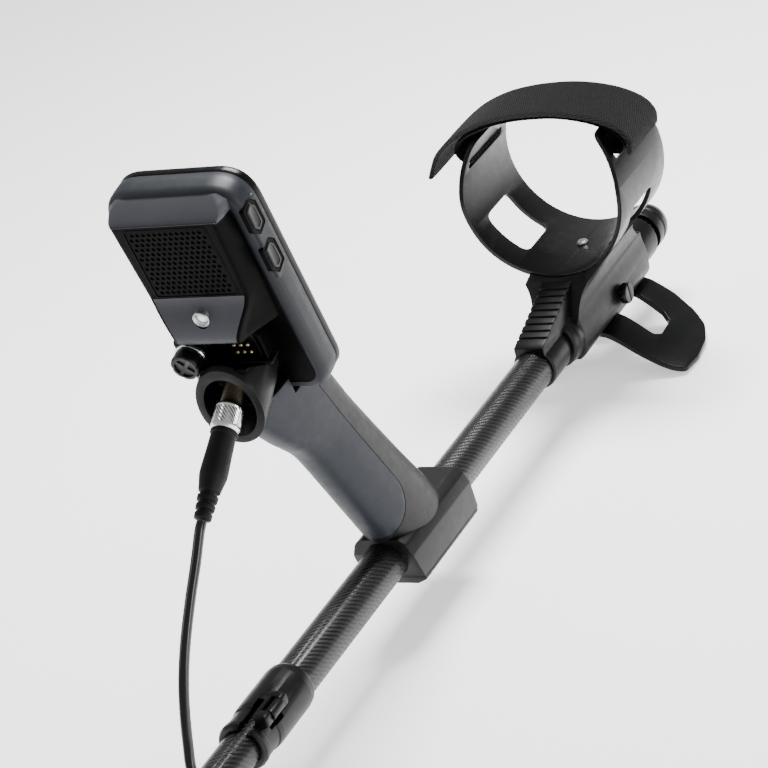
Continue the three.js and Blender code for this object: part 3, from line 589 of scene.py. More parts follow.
def add_stage():
    bm = bmesh.new()
    half = 6.0
    bm.faces.new([bm.verts.new((x, y, -0.0004)) for x, y in rect(-half, half, -half, half)])
    floor = from_bmesh("floor", bm)
    floor.data.materials.append(floor_material())
    world = bpy.data.worlds.new("soft_room")
    bpy.context.scene.world = world
    world.use_nodes = True
    color, strength = world.node_tree.nodes["Background"].inputs[:2]
    color.default_value = (1.0, 1.0, 1.0, 1.0)
    strength.default_value = 0.5
    area_light("softbox_above", (0.03, 0.78, 1.42), 0.8, 0.45, 62.0)
    area_light("softbox_side", (1.5, -0.1, 0.55), 0.4, 0.9, 9.0)
    area_light("softbox_left", (-1.3, -0.5, 0.9), 0.4, 0.8, 3.5)


# ---- shafts ----
def shaft_tube(name, r, wall, y0, y1, body, node):
    wall_line = soften([(r - wall, y0), (r, y0), (r, y1), (r - wall, y1)], 0.3)
    done(lathe(name, wall_line, sides=72, closed=True), body, CARBON, [node])


def shafts():
    shaft_tube("upper_tube", UPPER_R, 1.2, -49.6, 504, "frame", "upper_shaft")
    shaft_tube("middle_tube", MIDDLE_R, 1.0, -319.6, 215, "middle", "middle_shaft")
    shaft_tube("lower_tube", LOWER_R, 1.2, -436, -110, "lower", "lower_shaft")
    cap = [(0, 494), (11.2, 494), (11.2, 504.2), (15.4, 504.2), (15.4, 511), (14.7, 511.6),
           (14.7, 513.6), (15.3, 514.4), (14.8, 519), (12.8, 524), (8.2, 528.6), (0, 530.6)]
    done(lathe("end_cap", soften(cap, 0.5)), "frame", BLACK, ["rear_end_cap"])


# ---- cam locks ----
def lock_collar(prefix, y, outer, inner, place, body):
    profile = [
        (inner + 0.3, y), (13.6, y), (14.9, y + 2.2), (14.9, y + 5.4), (14.2, y + 6.2), (14.2, y + 17),
        (14.9, y + 17.8), (15.3, y + 21), (15.3, y + 54), (14.6, y + 58.6), (outer + 0.9, y + 61),
        (outer + 0.3, y + 61), (outer + 0.3, y + 32), (inner + 0.3, y + 32),
    ]
    collar = lathe(prefix + "_collar", soften(profile, 0.7, 4), place, sides=80, closed=True)
    lug = prism(prefix + "_lug", rounded([(8, 6), (17, 9.5), (17.2, 16.5), (8, 17.4)], [0, 2, 3, 0]),
                "y", y + 7, y + 31, place, edge=1.0)
    join(collar, lug)
    cut(collar, box("slot", 2, 9, y - 1, y + 26, 9.4, 30, place),
        box("notch", 11.2, 30, y + 12.6, y + 25.4, 4, 30, place))
    bevel(collar, 0.35, 2, 50)
    done(collar, body, BLACK, [prefix + "_collar"])


def lock_lever(prefix, y, place, body):
    line = [(15, 13), (17.6, 8.4), (18.7, 0), (19.1, -9), (20.2, -18), (22.2, -26), (25.2, -32.6)]
    line = smooth_rows(line, 5)
    sides = []
    for sign in (1, -1):
        row = []
        for i, p in enumerate(line):
            a = Vector(line[max(i - 1, 0)])
            b = Vector(line[min(i + 1, len(line) - 1)])
            d = (b - a).normalized()
            half = 2.3 - 0.7 * i / len(line)
            row.append((p[0] - sign * half * d.y, p[1] + sign * half * d.x))
        sides.append(row)
    outline = sides[0] + sides[1][::-1]
    blade = prism(prefix + "_blade", outline, "y", y + 6.2, y + 29.8, place, edge=1.1)
    cut(blade, box("waist", 8, 30, y, y + 12.8, 4.6, 30, place),
        box("waist", 8, 30, y + 25.2, y + 40, 4.6, 30, place),
        rod(15.9, y - 5, y + 60, place=place))
    eye = lathe(prefix + "_eye", soften([(0, y + 13), (3.5, y + 13), (3.5, y + 25), (0, y + 25)], 0.4),
                place, sides=28, at=(15, 13))
    join(blade, eye)
    done(blade, body, BLACK, [prefix + "_lever"])


def cam_locks():
    for prefix, y, outer, inner, place, body, lever in (
        ("upper_lock", -82, UPPER_R, MIDDLE_R, SHAFT, "frame", "upper_lever"),
        ("lower_lock", -352, MIDDLE_R, LOWER_R, LOWER_LOCK, "middle", "lower_lever"),
    ):
        lock_collar(prefix, y, outer, inner, place, body)
        lock_lever(prefix, y, place, lever)


# ---- handle ----
def oval(h, half, front, back):
    ring = []
    count = 72
    for i in range(count):
        t = 2 * math.pi * (i + 0.5) / count
        c, s = math.cos(t), math.sin(t)
        x = half * math.copysign(abs(c) ** 0.85, c)
        y = (front if s < 0 else back) * math.copysign(abs(s) ** 0.9, s)
        ring.append((x, y, h))
    return ring


HANDLE_ROWS = [[-4, 18.6, 27.6, 28.5], [20, 18.4, 27.4, 27.4], [60, 18.0, 27.0, 24.5],
               [112, 17.8, 26.5, 22], [128, 18.0, 28.0, 22], [140, 18.5, 31.4, 22], [152, 19.0, 35, 22],
               [168, 19.4, 38.5, 22], [186, 19.8, 41.5, 22], [206, 20.0, 42.5, 22]]


def handle_loft(name, shrink, top=134.7, rise=0.0):
    rows = smooth_rows(HANDLE_ROWS, 5)
    obj = loft(name, [oval(h, x - shrink, f - shrink, b - shrink) for h, x, f, b in rows], HANDLE)
    under = [(-60, 146 + rise), (73.0, 146 + rise), (73.2, top), (160, top), (160, 260), (-60, 260)]
    return cut(obj, prism("ceiling", under, "x", -60, 60, POD))


def overlay_zone(grow):
    back = -1 + grow
    low = 34 - grow
    outline = [(-80, 203), (back, 203), (back, low + 24)]
    for k in range(1, 15):
        t = math.radians(90 * k / 14)
        outline.append((back - 26 * (1 - math.cos(t)), low + 24 - 24 * math.sin(t)))
    outline.append((-80, low))
    return prism("zone", outline, "x", -40, 40, HANDLE)


def plug_room():
    return rod(15.6, -12, 60, "z", place=PLUG)


def clamp_tools():
    """The slant that trims the clamp's front edge, and the shaft's bore."""
    front = prism("front", [(80, -40), (113, -40), (99, 5), (99, 30), (80, 30)], "x", -40, 40)
    return front, rod(UPPER_R + 0.2, 60, 240)


CLAMP_SCREWS = (("front", 15.4, 114), ("rear", -15.4, 172))


def handle():
    overlay = handle_loft("grip_soft_overlay", 0.0)
    combine(overlay, overlay_zone(0.0), "INTERSECT")
    cut(overlay, handle_loft("core", 1.6, 138.0, 3.0))
    pocket = handle_loft("pocket", -1.0, 137.5, 1.5)
    combine(pocket, overlay_zone(0.45), "INTERSECT")
    cut(pocket, handle_loft("core", 1.65, 139.0, 3.0))
    shell = handle_loft("handle_shell", 0.0)
    cut(shell, pocket, plug_room())
    cut(overlay, plug_room())
    bevel(overlay, 0.5, angle=50)
    done(overlay, "frame", GRIP, ["grip_overlay"], 50)
    done(shell, "frame", HANDLE_SHELL, (), 50)

    outline = rounded([(-20.3, -12.7), (20.3, -12.7), (20.3, 5), (17.5, 12), (12, 15.7), (-12, 15.7),
                       (-17.5, 12), (-20.3, 5)], [0, 0, 4, 4, 4, 4, 4, 4], 4)
    clamp = prism("handle_clamp", outline, "y", 98, 181, edge=2.4)
    cut(clamp, *clamp_tools())
    bevel(clamp, 1.5, 4, 40)
    done(clamp, "frame", CLAMP, ["handle_body"])

    under = rounded([(-20.3, -12.9), (-20.3, -15.2), (-13, -19), (13, -19), (20.3, -15.2), (20.3, -12.9)],
                    [0, 2, 4, 4, 2, 0], 4)
    cap = prism("clamp_lower_half", under, "y", 101, 179, edge=1.2)
    wells = [rod(3.1, -25, -15.6, "z", at=(x, y)) for _, x, y in CLAMP_SCREWS]
    cut(cap, *clamp_tools(), *wells)
    bevel(cap, 0.5, 2, 40)
    done(cap, "frame", CLAMP, ["clamp_cap"])
    for name, x, y in CLAMP_SCREWS:
        head = lathe("clamp_socket_screw_" + name,
                     soften([(0, -13), (1.5, -13), (1.5, -15.4), (2.7, -15.4), (2.7, -17.7),
                             (0, -17.7)], 0.3), axis="z", at=(x, y), sides=32)
        key = prism("key", circle(1.2, x, y, 6), "z", -19, -16.4)
        done(cut(head, key), "frame", STEEL, ["clamp_screw_" + name])


# ---- control pod ----
POD_HALF, POD_LOW, POD_HIGH = 43.0, 137.0, 277.0
CORNER_LOW, CORNER_HIGH = 14.0, 20.0
KEY_Z = (253.5, 227.5)  # the two side buttons
SURROUND = 2.3


def pod_outline(step):
    x = POD_HALF - step
    corners = [(-x, POD_LOW + step), (x, POD_LOW + step), (x, POD_HIGH - step), (-x, POD_HIGH - step)]
    return rounded(corners, [CORNER_LOW - step] * 2 + [CORNER_HIGH - step] * 2, 10)


def pod_rings(stations):
    return [[(x, y, z) for x, z in pod_outline(step)] for y, step in stations]


def pod_band():
    stations = [(73.4, 4.6), (73.6, 3.2), (74.4, 1.8), (75.6, 0.9), (77.2, 0.3), (79, 0.05), (84, 0.0),
                (89.3, 0.25), (89.7, 0.6)]
    band = loft("pod_band", pod_rings(stations), POD)
    well = loft("well", pod_rings([(76, 3), (95, 3)]), POD)
    cut(band, well, *[button_well(z, SURROUND, 42.1, 50) for z in KEY_Z])
    done(band, "frame", BAND, ["pod_rear_housing"], 45)


def side_button_outline(z, grow):
    h, w, y = 8.2 + grow, 4.2 + grow, 79.5
    return [(y - w, z - h * 0.55), (y - w * 0.3, z - h), (y + w, z - h * 0.8), (y + w, z + h * 0.55),
            (y + w * 0.3, z + h), (y - w, z + h * 0.8)]


def button_well(z, grow, a, b, radius=1.6):
    """A cutter with the side button's outline, grown all round."""
    return prism("well", rounded(side_button_outline(z, grow), radius, 3), "x", a, b, POD)


def side_pad():
    """The raised field round the side buttons, ending in a step toward the handle."""
    outline = rounded([(74.6, 213), (88.2, 219), (88.2, 266), (74.6, 258)], [3, 4, 4, 4], 4)
    pad = prism("side_button_field", outline, "x", 40.5, 43.3, POD, edge_b=0.9)
    cut(pad, *[button_well(z, SURROUND, 30, 50) for z in KEY_Z])
    done(pad, "frame", BAND)
    for i, z in enumerate(KEY_Z):
        rim = prism("side_button_rim_%d" % i, rounded(side_button_outline(z, SURROUND), 1.6, 3), "x",
                    40.2, 42.9, POD, edge_b=0.3)
        cut(rim, button_well(z, 0.35, 30, 50, 1.2))
        done(rim, "frame", PANEL)


TORCH = (0, 206.5)
PINS = [(x, z) for x in (4.4, 8.7, 13.0) for z in (174.9, 180.1)]  # the charging contacts
HUMP_ROWS = [
    [189.6, 68.0, 19.0], [190.4, 57.0, 19.6], [191.6, 51.6, 19.9], [194.2, 49.9, 20.2], [198.0, 50.6, 21.6],
    [204.0, 53.6, 24.8], [210.0, 57.4, 28.2], [214.0, 59.4, 29.8], [218.0, 60.4, 30.6], [226.0, 60.5, 31.0],
    [262.5, 60.5, 32.4], [264.6, 60.9, 33.0], [267.0, 62.6, 34.0], [270.0, 66.6, 34.5], [273.4, 72.0, 31.0],
    [275.0, 76.0, 27.0],
]


def hump_ring(z, y, half):
    base = 36.6
    rise = z - (POD_HIGH - CORNER_HIGH)
    if rise > 0:
        base = min(base, POD_HALF - CORNER_HIGH + math.sqrt(CORNER_HIGH ** 2 - rise ** 2) - 1.0)
        half = min(half, base - 2.6)
    mid = min(y + 6, 75)
    outline = [(-base, 78.0), (-half - 2.2, mid), (-half, y), (half, y), (half + 2.2, mid), (base, 78.0)]
    return [(x, d, z) for x, d in rounded(outline, [0, 2, 2.6, 2.6, 2, 0], 5)]


def pod_hump():
    """Speaker hump: black grille field and sides; slab above and chin with the torch in a lighter grey, the
    band's blue-grey painted lighter as painted light on faces turned up or to the front.
    """
    rows = smooth_rows(HUMP_ROWS, 4)
    hump = loft("pod_hump", [hump_ring(*row) for row in rows], POD)
    torch_well = rod(5.0, 40, 60.4, at=TORCH, place=POD, sides=40)
    field = prism("field", rounded(rect(-26.4, 26.4, 216.8, 264.0), 3.0, 6), "y", 40, 61.4, POD)
    for tool in (torch_well, field):
        tool.data.materials.append(PANEL)
    for material in (PANEL, BLUE_GREY_PAINTED_LIT):
        hump.data.materials.append(material)
    back = POD.inverted()
    for face in hump.data.polygons:
        centre = back @ face.center
        turn = back.to_3x3() @ face.normal
        # Painted light: faces of the slab and chin that turn up or to the front take the lighter grey; the
        # black sides and grille are the hump's own two-tone.
        painted_lit_facing = turn.y < -0.35 or turn.z > 0.5
        chin = centre.z < 216.5 and centre.y < 63 and abs(turn.x) < 0.86
        painted_lit_zone = centre.z > 264.4 or chin
        face.material_index = 1 if painted_lit_zone and painted_lit_facing else 0
    cut(hump, torch_well, field)
    done(hump, "frame", PANEL, (), 38)


def grille():
    """Perforated field: staggered round holes in a thin black plate over a dark liner."""
    plate = prism("speaker_grille_plate", rounded(rect(-26.0, 26.0, 217.1, 263.7), 2.8, 6), "y", 60.7,
                  62.3, POD, edge=0.3, edge_b=0.0)
    bm = bmesh.new()
    pitch_x, pitch_z = 3.5, 3.3
    for row in range(13):
        shift = 0.5 * pitch_x if row % 2 else 0.0
        for col in range(-7, 8):
            x = col * pitch_x + shift
            if abs(x) > 23.9:
                continue
            z = 220.6 + row * pitch_z
            rings = [[bm.verts.new(POD @ Vector((a, y, b))) for a, b in circle(r, x, z, 12)]
                     for y, r in ((60.2, 1.32), (60.75, 1.18), (61.1, 1.05), (63.2, 1.05))]
            for a, b in zip(rings, rings[1:]):
                for i in range(12):
                    bm.faces.new((a[i], a[(i + 1) % 12], b[(i + 1) % 12], b[i]))
            bm.faces.new(rings[0][::-1])
            bm.faces.new(rings[-1])
    cut(plate, from_bmesh("holes", bm))
    done(plate, "frame", PANEL, ["speaker_grille"], 30)
    liner = box("speaker_liner", -26.2, 26.2, 63.3, 63.8, 217.0, 263.8, POD)
    done(liner, "frame", LINER)
    frame_ring = prism("grille_rim", rounded(rect(-26.4, 26.4, 216.8, 264.0), 3.0, 6), "y", 60.3, 61.0, POD,
                       edge=0.2, edge_b=0.0)
    cut(frame_ring, prism("hole", rounded(rect(-25.4, 25.4, 217.8, 263.0), 2.2, 6), "y", 50, 70, POD))
    done(frame_ring, "frame", PANEL)


def torch():
    ring = soften([(3.35, 60.0), (3.35, 54.2), (4.6, 53.3), (4.95, 54.0), (4.95, 60.0)], 0.25)
    done(lathe("torch_ring", ring, POD, at=TORCH, sides=48, closed=True), "frame", STEEL)
    dome = [(0, 61), (3.3, 61), (3.3, 56.4)]
    for k in range(1, 8):
        t = math.radians(90 * k / 7)
        dome.append((3.3 * math.cos(t), 56.4 - 2.1 * math.sin(t)))
    done(lathe("torch_dome", dome, POD, at=TORCH, sides=40), "frame", LENS, ["torch_lens"], 60)


def recess():
    """Black back plate, contact panel and the seat of the headphone cap."""
    plate_ring = [[(x, y, z) for x, z in pod_outline(step)] for y, step in
                  ((72.9, 5.9), (72.6, 6.4), (75.4, 6.6))]
    plate = loft("pod_back_plate", plate_ring[::-1], POD)
    done(plate, "frame", PANEL, (), 30)
    block = prism("contact_panel", rounded([(-15, 168.5), (22, 168.5), (22.6, 186), (19, 191),
                                            (-15, 191)], 2, 4), "y", 62.4, 76, POD, edge=0.7)
    cut(block, prism("well", rounded(rect(-0.7, 19.3, 171.2, 188.2), 1.0, 3), "y", 50, 66.4, POD))
    done(bevel(block, 0.3, 2, 50), "frame", PANEL)
    ledge = prism("contact_ledge", rounded([(-6, 167.3), (23.5, 167.3), (24.2, 169.0), (-6, 169.0)],
                                           0.6, 3), "y", 60.9, 70, POD, edge=0.5)
    done(ledge, "frame", CLAMP)
    pad = prism("contact_insulator", rounded(rect(-0.2, 18.8, 171.7, 187.7), 0.8, 3), "y", 62.9, 64.9, POD,
                edge=0.25)
    cut(pad, *[rod(1.55, 60, 70, at=pin, place=POD, sides=24) for pin in PINS])
    done(pad, "frame", BEZEL, ["contact_block"])
    seat = prism("cap_seat", rounded([(-30, 168), (-9, 168), (-9, 190), (-30, 190)], 6, 6), "y", 58, 76,
                 POD, edge=1.2, edge_b=0.0)
    done(seat, "frame", PANEL)
    for i, pin in enumerate(PINS):
        dome = soften([(0, 66), (1.0, 66), (1.0, 62.6), (0.75, 62.0), (0, 61.8)], 0.2)
        done(lathe("contact_pin_%d" % i, dome, POD, at=pin, sides=24), "frame", GOLD,
             ["contact_strip"] if i == 0 else ())


def phone_cap():
    """Lobed screw cap with a cross recess, and its polished ring."""
    x0, z0 = -20.0, 179.0
    lobes = []
    for t in turns(72):
        r = 8.45 - 0.55 * max(0.0, math.cos(6 * t)) ** 3
        lobes.append((x0 + r * math.cos(t), z0 + r * math.sin(t)))
    cap = prism("headphone_screw_cap", lobes, "y", 46.4, 54.0, POD, edge=1.0, edge_b=0.3)
    cut(cap, prism("well", circle(6.1, x0, z0), "y", 40, 47.6, POD))
    hub = lathe("hub", [(0, 46.9), (1.8, 46.9), (2.1, 48.2), (0, 48.2)], POD, at=(x0, z0), sides=24)
    join(cap, hub)
    for k in range(2):
        turn = POD @ Matrix.Translation((x0, 0, z0)) @ Matrix.Rotation(math.radians(45 + 90 * k), 4, "Y")
        join(cap, box("spoke", -6.4, 6.4, 46.8, 48.2, -1.0, 1.0, turn))
    bevel(cap, 0.22, 2, 40)
    done(cap, "phone_cap", BLACK, ["headphone_cap"], 35)
    ring = soften([(5.4, 54.2), (9.1, 54.2), (9.35, 54.9), (9.35, 56.6), (8.8, 57.4), (5.4, 57.4)], 0.25)
    done(lathe("headphone_cap_ring", ring, POD, at=(x0, z0), closed=True), "phone_cap", CHROME)


def shroud():
    """Round hood over the coil connector, open wider on its upper side."""
    profile = [(0, 38), (19.0, 38), (19.6, 34), (20.3, 26), (20.5, 12), (20.2, 0), (19.2, -8.6),
               (17.6, -9.6), (16.2, -9.0), (15.6, -7), (15.5, 20), (14.2, 20.6), (0, 20.6)]
    hood = lathe("connector_hood", soften([(r, -h) for r, h in profile], 1.2, 4), PLUG, "z",
                 sides=96)
    slant = PLUG @ Matrix.Translation((0, 0, -3.0)) @ Matrix.Rotation(math.radians(-30), 4, "X")
    mouth = box("mouth", -50, 50, -50, 50, 0, 60, slant)
    below = box("below", -60, 60, -40, 160, 20, 100, POD)
    behind = prism("behind", [(48.5, 215), (48.5, 175.5), (61.5, 167), (110, 167), (110, 215)], "x",
                   -40, 40, POD)
    cut(hood, mouth, below, behind)
    bevel(hood, 0.9, 3, 40)
    shelf = prism("hood_shelf", [(47.6, 176.2), (48.6, 176.2), (61.6, 167.6), (73, 167.6), (73, 165.6),
                                 (60.8, 165.6), (47.0, 174.6)], "x", -17, 17, POD)
    done(shelf, "frame", PANEL)
    done(hood, "frame", HOOD, (), 45)


def display_side():
    bezel = loft("pod_front_bezel", pod_rings([(89.9, 0.7), (90.1, 0.35), (93.2, 0.2), (94.6, 0.7),
                                               (95.6, 1.7), (96.0, 3.0)]), POD)
    inner = loft("inner", pod_rings([(80, 3), (92.8, 3)]), POD)
    view = prism("view", rounded(rect(-34, 34, 184, 267), [4, 4, 8, 8], 5), "y", 80, 99, POD)
    ledge = prism("ledge", rounded(rect(-36, 36, 182, 269), [5, 5, 10, 10], 6), "y", 94.5, 99, POD)
    tools = [inner, view, ledge]
    for name, x, z, hx, hz in FACE_BUTTONS:
        tools.append(prism("hole", face_outline(x, z, hx, hz, 0.4), "y", 80, 99, POD))
    cut(bezel, *tools)
    bevel(bezel, 0.25, 2, 50)
    done(bezel, "frame", BEZEL, ["pod_bezel"])
    glass = prism("display_glass", rounded(rect(-35.7, 35.7, 182.3, 268.7), [5, 5, 10, 10], 6), "y",
                  94.8, 95.8, POD, edge_b=0.2)
    done(glass, "frame", PANE, ["display_window"])
    for name, x, z, hx, hz in FACE_BUTTONS:
        cap = prism(name + "_key", face_outline(x, z, hx, hz, 0.0), "y", 88.5, 97.1, POD,
                    edge_b=0.8)
        done(cap, name + "_body", GRIP, [name])
        button_icon(name, x, z)
    for name, z in zip(("upper", "lower"), KEY_Z):
        key = prism("side_key_" + name, rounded(side_button_outline(z, 0.0), 1.2, 4), "x", 39.2, 43.5,
                    POD, edge_b=0.7)
        cut(key, prism("dish", rounded(side_button_outline(z, -1.6), 0.9, 3), "x", 43.15, 50, POD))
        done(bevel(key, 0.15, 2, 50), "side_button_" + name + "_body", BLACK,
             ["side_button_" + name])


FACE_BUTTONS = [
    ("button_menu", 0, 168, 7.5, 5.5), ("button_left", -23, 166, 8, 5.5), ("button_right", 23, 166, 8, 5.5),
    ("button_minus", -14, 149, 9, 5), ("button_plus", 14, 149, 9, 5),
]


def face_outline(x, z, hx, hz, grow):
    outline = rect(x - hx - grow, x + hx + grow, z - hz - grow, z + hz + grow)
    return rounded(outline, 3 + grow, 5)


def button_icon(name, x, z):
    bars = {
        "button_menu": [rect(x - 2.6, x + 2.6, z + k - 0.35, z + k + 0.35) for k in (-1.8, 0, 1.8)],
        "button_left": [[(x + 1.2, z - 2.2), (x + 1.2, z + 2.2), (x - 1.9, z)]],
        "button_right": [[(x - 1.2, z - 2.2), (x + 1.9, z), (x - 1.2, z + 2.2)]],
        "button_minus": [rect(x - 2.2, x + 2.2, z - 0.4, z + 0.4)],
        "button_plus": [rect(x - 2.2, x + 2.2, z - 0.4, z + 0.4), rect(x - 0.4, x + 0.4, z - 2.2, z + 2.2)],
    }[name]
    for i, bar in enumerate(bars):
        icon = prism("%s_icon_%d" % (name, i), bar, "y", 97.0, 97.16 + 0.01 * i, POD)
        done(icon, name + "_body", ICON, plain=True)


def display_picture():
    """The liquid crystal picture: a two-digit readout, a ring of bars and a battery sign."""
    done(box("lcd_plate", -33, 33, 86.5, 91.8, 186, 264, POD, edge=0.3), "frame", LCD,
         ["lcd_module"])
    marks = [rect(-28 + 5.8 * i, -24 + 5.8 * i, 250, 252.5 + 0.7 * i) for i in range(10)]
    for left, lit in ((-20, "abcdfg"), (4, "acdefg")):
        marks += digit(left, 206, lit)
    marks += [rect(22, 29, 191, 195), rect(29, 30.2, 192, 194), rect(-30, -22, 191, 192),
              rect(-30, -22, 193.4, 194.4)]
    for i, mark in enumerate(marks):
        mark = [(-x, z) for x, z in mark]
        done(prism("lcd_mark_%d" % i, mark, "y", 91.7, 91.95, POD), "frame", INK, plain=True)


def digit(x, z, lit):
    wide, tall, t = 16, 30, 3.2
    mid = z + tall / 2
    bars = {
        "a": rect(x + t, x + wide - t, z + tall - t, z + tall),
        "b": rect(x + wide - t, x + wide, mid + 0.6, z + tall - t - 0.4),
        "c": rect(x + wide - t, x + wide, z + t + 0.4, mid - 0.6),
        "d": rect(x + t, x + wide - t, z, z + t),
        "e": rect(x, x + t, z + t + 0.4, mid - 0.6),
        "f": rect(x, x + t, mid + 0.6, z + tall - t - 0.4),
        "g": rect(x + t, x + wide - t, mid - t / 2, mid + t / 2),
    }
    return [bars[k] for k in lit]


# ---- coil connector ----
def connector():
    thread = [(0, -30), (6.2, -30), (6.2, -19.6), (9, -19.6), (9, -17)]
    for k in range(16):
        z = -16.6 + k
        thread += [(5.75, z), (6.25, z + 0.5)]
    thread += [(5.7, -0.6), (4.7, -0.4), (4.7, -14), (0, -14)]
    done(lathe("threaded_socket", thread, PLUG, "z", sides=56), "frame", BRASS_IN_PAINTED_SHADE,
         ["coil_socket"], 25)

    count, rows = 96, 22
    rings = []
    for k in range(rows + 1):
        z = -2.8 + 11.6 * k / rows
        ring = []
        for i, t in enumerate(turns(count)):
            ridge = 0.22 if (i + k) % 4 < 2 else 0.0
            r = 7.85 + (0.25 if k in (0, 1, rows - 1, rows) else ridge)
            ring.append((r * math.cos(t), r * math.sin(t), z))
        rings.append(ring)
    for r, z in ((7.4, 10.0), (7.0, 10.4), (4.7, 10.4), (4.7, 5.2), (6.6, 5.2), (6.6, -3.8),
                 (7.4, -3.8), (7.9, -3.4)):
        rings.append([(x, y, z) for x, y in circle(r, count=count)])
    knurl = loft("knurled_collar", rings, PLUG, closed=True)
    done(knurl, "plug_collar", CHROME, ["connector_collar"], 30)

    body = [(0, -12), (4.1, -12), (4.1, 10.7), (7.3, 10.7), (7.6, 11.2), (7.6, 13.0), (6.9, 13.3),
            (6.9, 14.2), (7.0, 15), (7.3, 24), (7.7, 34), (7.7, 37), (6.9, 41), (6.0, 46)]
    for k in range(3):
        z, r = 47.0 + 5.0 * k, 5.75 - 0.4 * k
        body += [(r - 1.1, z), (r - 1.1, z + 1.3), (r, z + 1.6), (r - 0.15, z + 4.6)]
    body += [(3.2, 62.4), (0, 62.4)]
    plug = lathe("cable_plug", soften(body, 0.45), PLUG, "z")
    return done(plug, "frame", RUBBER, ["connector_plug"]), knurl


# ---- cable ----
LEAD = [
    (0, -49.9, 123.1), (0, -55, 119.2), (0, -66, 108), (0, -82, 93), (0, -97, 77), (0, -108, 62),
    (0, -116, 47), (0.3, -122.5, 32), (2, -128.5, 21), (7.6, -133.2, 13.2), (12.9, -135.7, 7.5),
    (14.65, -137.5, 2.1),
]
TAIL = [
    (14.65, -268.6, -2.1), (11.7, -270.7, -9.1), (1, -273.8, -15.1), (-11, -276.5, -11.2),
    (-16.5, -280, 0), (-14, -284, 12), (-6, -289, 19.5), (-1, -298, 21), (-1, -336, 21), (-1, -352, 20.5),
    (-1, -360, 16), (-6, -366, 11.5), (-12.5, -371, 3), (-11, -376, -7), (-1, -380, -13), (10, -384, -12),
    (18, -390, -17), (23, -397, -24), (24, -406, -27), (24, -417, -27),
]


def helix(r, y0, y1, turns, per_turn=16):
    count = round(abs(turns) * per_turn)
    points = []
    for i in range(count + 1):
        t = 2 * math.pi * turns * i / count
        points.append((r * math.cos(t), y0 + (y1 - y0) * i / count, r * math.sin(t)))
    return points


def dense(points, steps):
    return [tuple(p) for p in smooth_rows(points, steps)]


def cable_part(name, points, body, nodes=()):
    """One length of cable; given a pair of bodies, it is baked in place and attached to neither."""
    path = [SHAFT @ Vector(p) for p in points]
    obj = tube_along(name, points, CABLE_D / 2, 20)
    if isinstance(body, tuple):
        body = (*body, tuple(path[0]), tuple(path[-1]))
    done(obj, body, CABLE, nodes, 60)


def cables(ends):
    cable_part("cable_upper", dense(LEAD, 5), ("frame", "middle"), ["cable_lead"])
    cable_part("cable_wound", helix(14.7, -138, -268, -5), "middle", ["cable_middle_wrap"])
    tail = dense(TAIL, 5)
    cable_part("cable_lower", tail[:41], "middle", ["cable_coil_tail"])
    cable_part("cable_sliding", tail[40:71], ("middle", "lower"))
    cable_part("cable_coil_end", tail[70:], ("lower", "coil"))


# ---- armrest ----
def armrest_bore():
    return rod(UPPER_R + 0.3, 300, 510, sides=72)


def armrest_ring(name, profile, radius):
    """A turned ring round the shaft, closed on its bore."""
    ring = lathe(name, soften(profile, radius), sides=72, closed=True)
    done(ring, "armrest", MOUNT)


def armrest_mount():
    bore_r = UPPER_R + 0.3
    armrest_ring("armrest_nose", [(bore_r, 321), (13.7, 321), (14.6, 322.2), (14.6, 345), (13.6, 346),
                                  (13.6, 350), (bore_r, 350)], 0.5)

    rib = [(320.4, 9), (320.4, 15.2), (321.2, 16.0), (325.5, 17.3)]
    for k in range(8):
        y = 327.5 + 6 * k
        z = 15.8 + (y - 320) * 0.2885
        rib += [(y, z), (y + 0.3, z - 1.1), (y + 2.3, z - 0.6), (y + 2.6, z + 0.75)]
    rib += [(379, 32.9), (379, 9)]
    ramp = prism("armrest_thumb_ramp", rib, "x", -10.4, 10.4, edge=0.7)
    done(cut(ramp, armrest_bore()), "armrest", MOUNT, (), 30)

    side = [(10.5, -17.4), (16.2, -12.2), (17.6, -5), (17.7, 4), (16.6, 12), (17.0, 19), (19.0, 26),
            (22.5, 31.6)]
    side = [tuple(p) for p in smooth_rows(side, 3)]
    seat = [(55.6 * math.sin(math.radians(a)), CUFF_Z - 55.6 * math.cos(math.radians(a)))
            for a in (20, 12, 4, -4, -12, -20)]
    outline = side + seat + mirrored(side)
    body = prism("armrest_body", outline, "y", 362, 476, edge=2.2)
    nose_cut = prism("nose_cut", [(340, -30), (352, -30), (352, -16), (362, 10), (383, 40), (383, 60),
                                  (340, 60)], "x", -40, 40)
    tail = prism("tail_cut", [(456, 60), (456, 32), (470, 17), (490, 15), (490, 60)], "x", -40, 40)
    foot = box("foot_room", -8.4, 8.4, 401.8, 474.2, -22, -15.5)
    screw = rod(3.4, 10, 30, "x", at=(425, -3), sides=32)
    cut(body, nose_cut, armrest_bore(), tail, foot, screw)
    bevel(body, 1.0, 3, 42)
    done(body, "armrest", MOUNT, ["armrest_mount"], 42)

    armrest_ring("armrest_front_ring", [(bore_r, 350.6), (15.4, 350.6), (16.6, 352), (16.9, 356),
                                        (17.6, 358), (17.6, 364), (bore_r, 364)], 0.6)
    armrest_ring("armrest_rear_sleeve", [(bore_r, 470), (16.0, 470), (16.0, 497), (15.3, 498.6),
                                         (bore_r, 498.6)], 0.6)


def armrest_knob():
    profile = soften([(0, 14.4), (3.0, 14.4), (3.0, 18.9), (6.2, 18.9), (7.0, 19.8), (7.0, 22.2),
                      (6.2, 23.9), (0, 23.9)], 0.4)
    knob = lathe("armrest_clamp_knob", profile, axis="x", at=(425, -3), sides=60)
    grips = [rod(0.8, 19.6, 26, "x", at=p, sides=14) for p in circle(7.3, 425, -3, 12)]
    cut(knob, box("slot", 22.9, 30, 424.2, 425.8, -12, 6), *grips)
    bevel(knob, 0.2, 2, 45)
    done(knob, "armrest_screw", BLACK, ["armrest_knob"], 38)


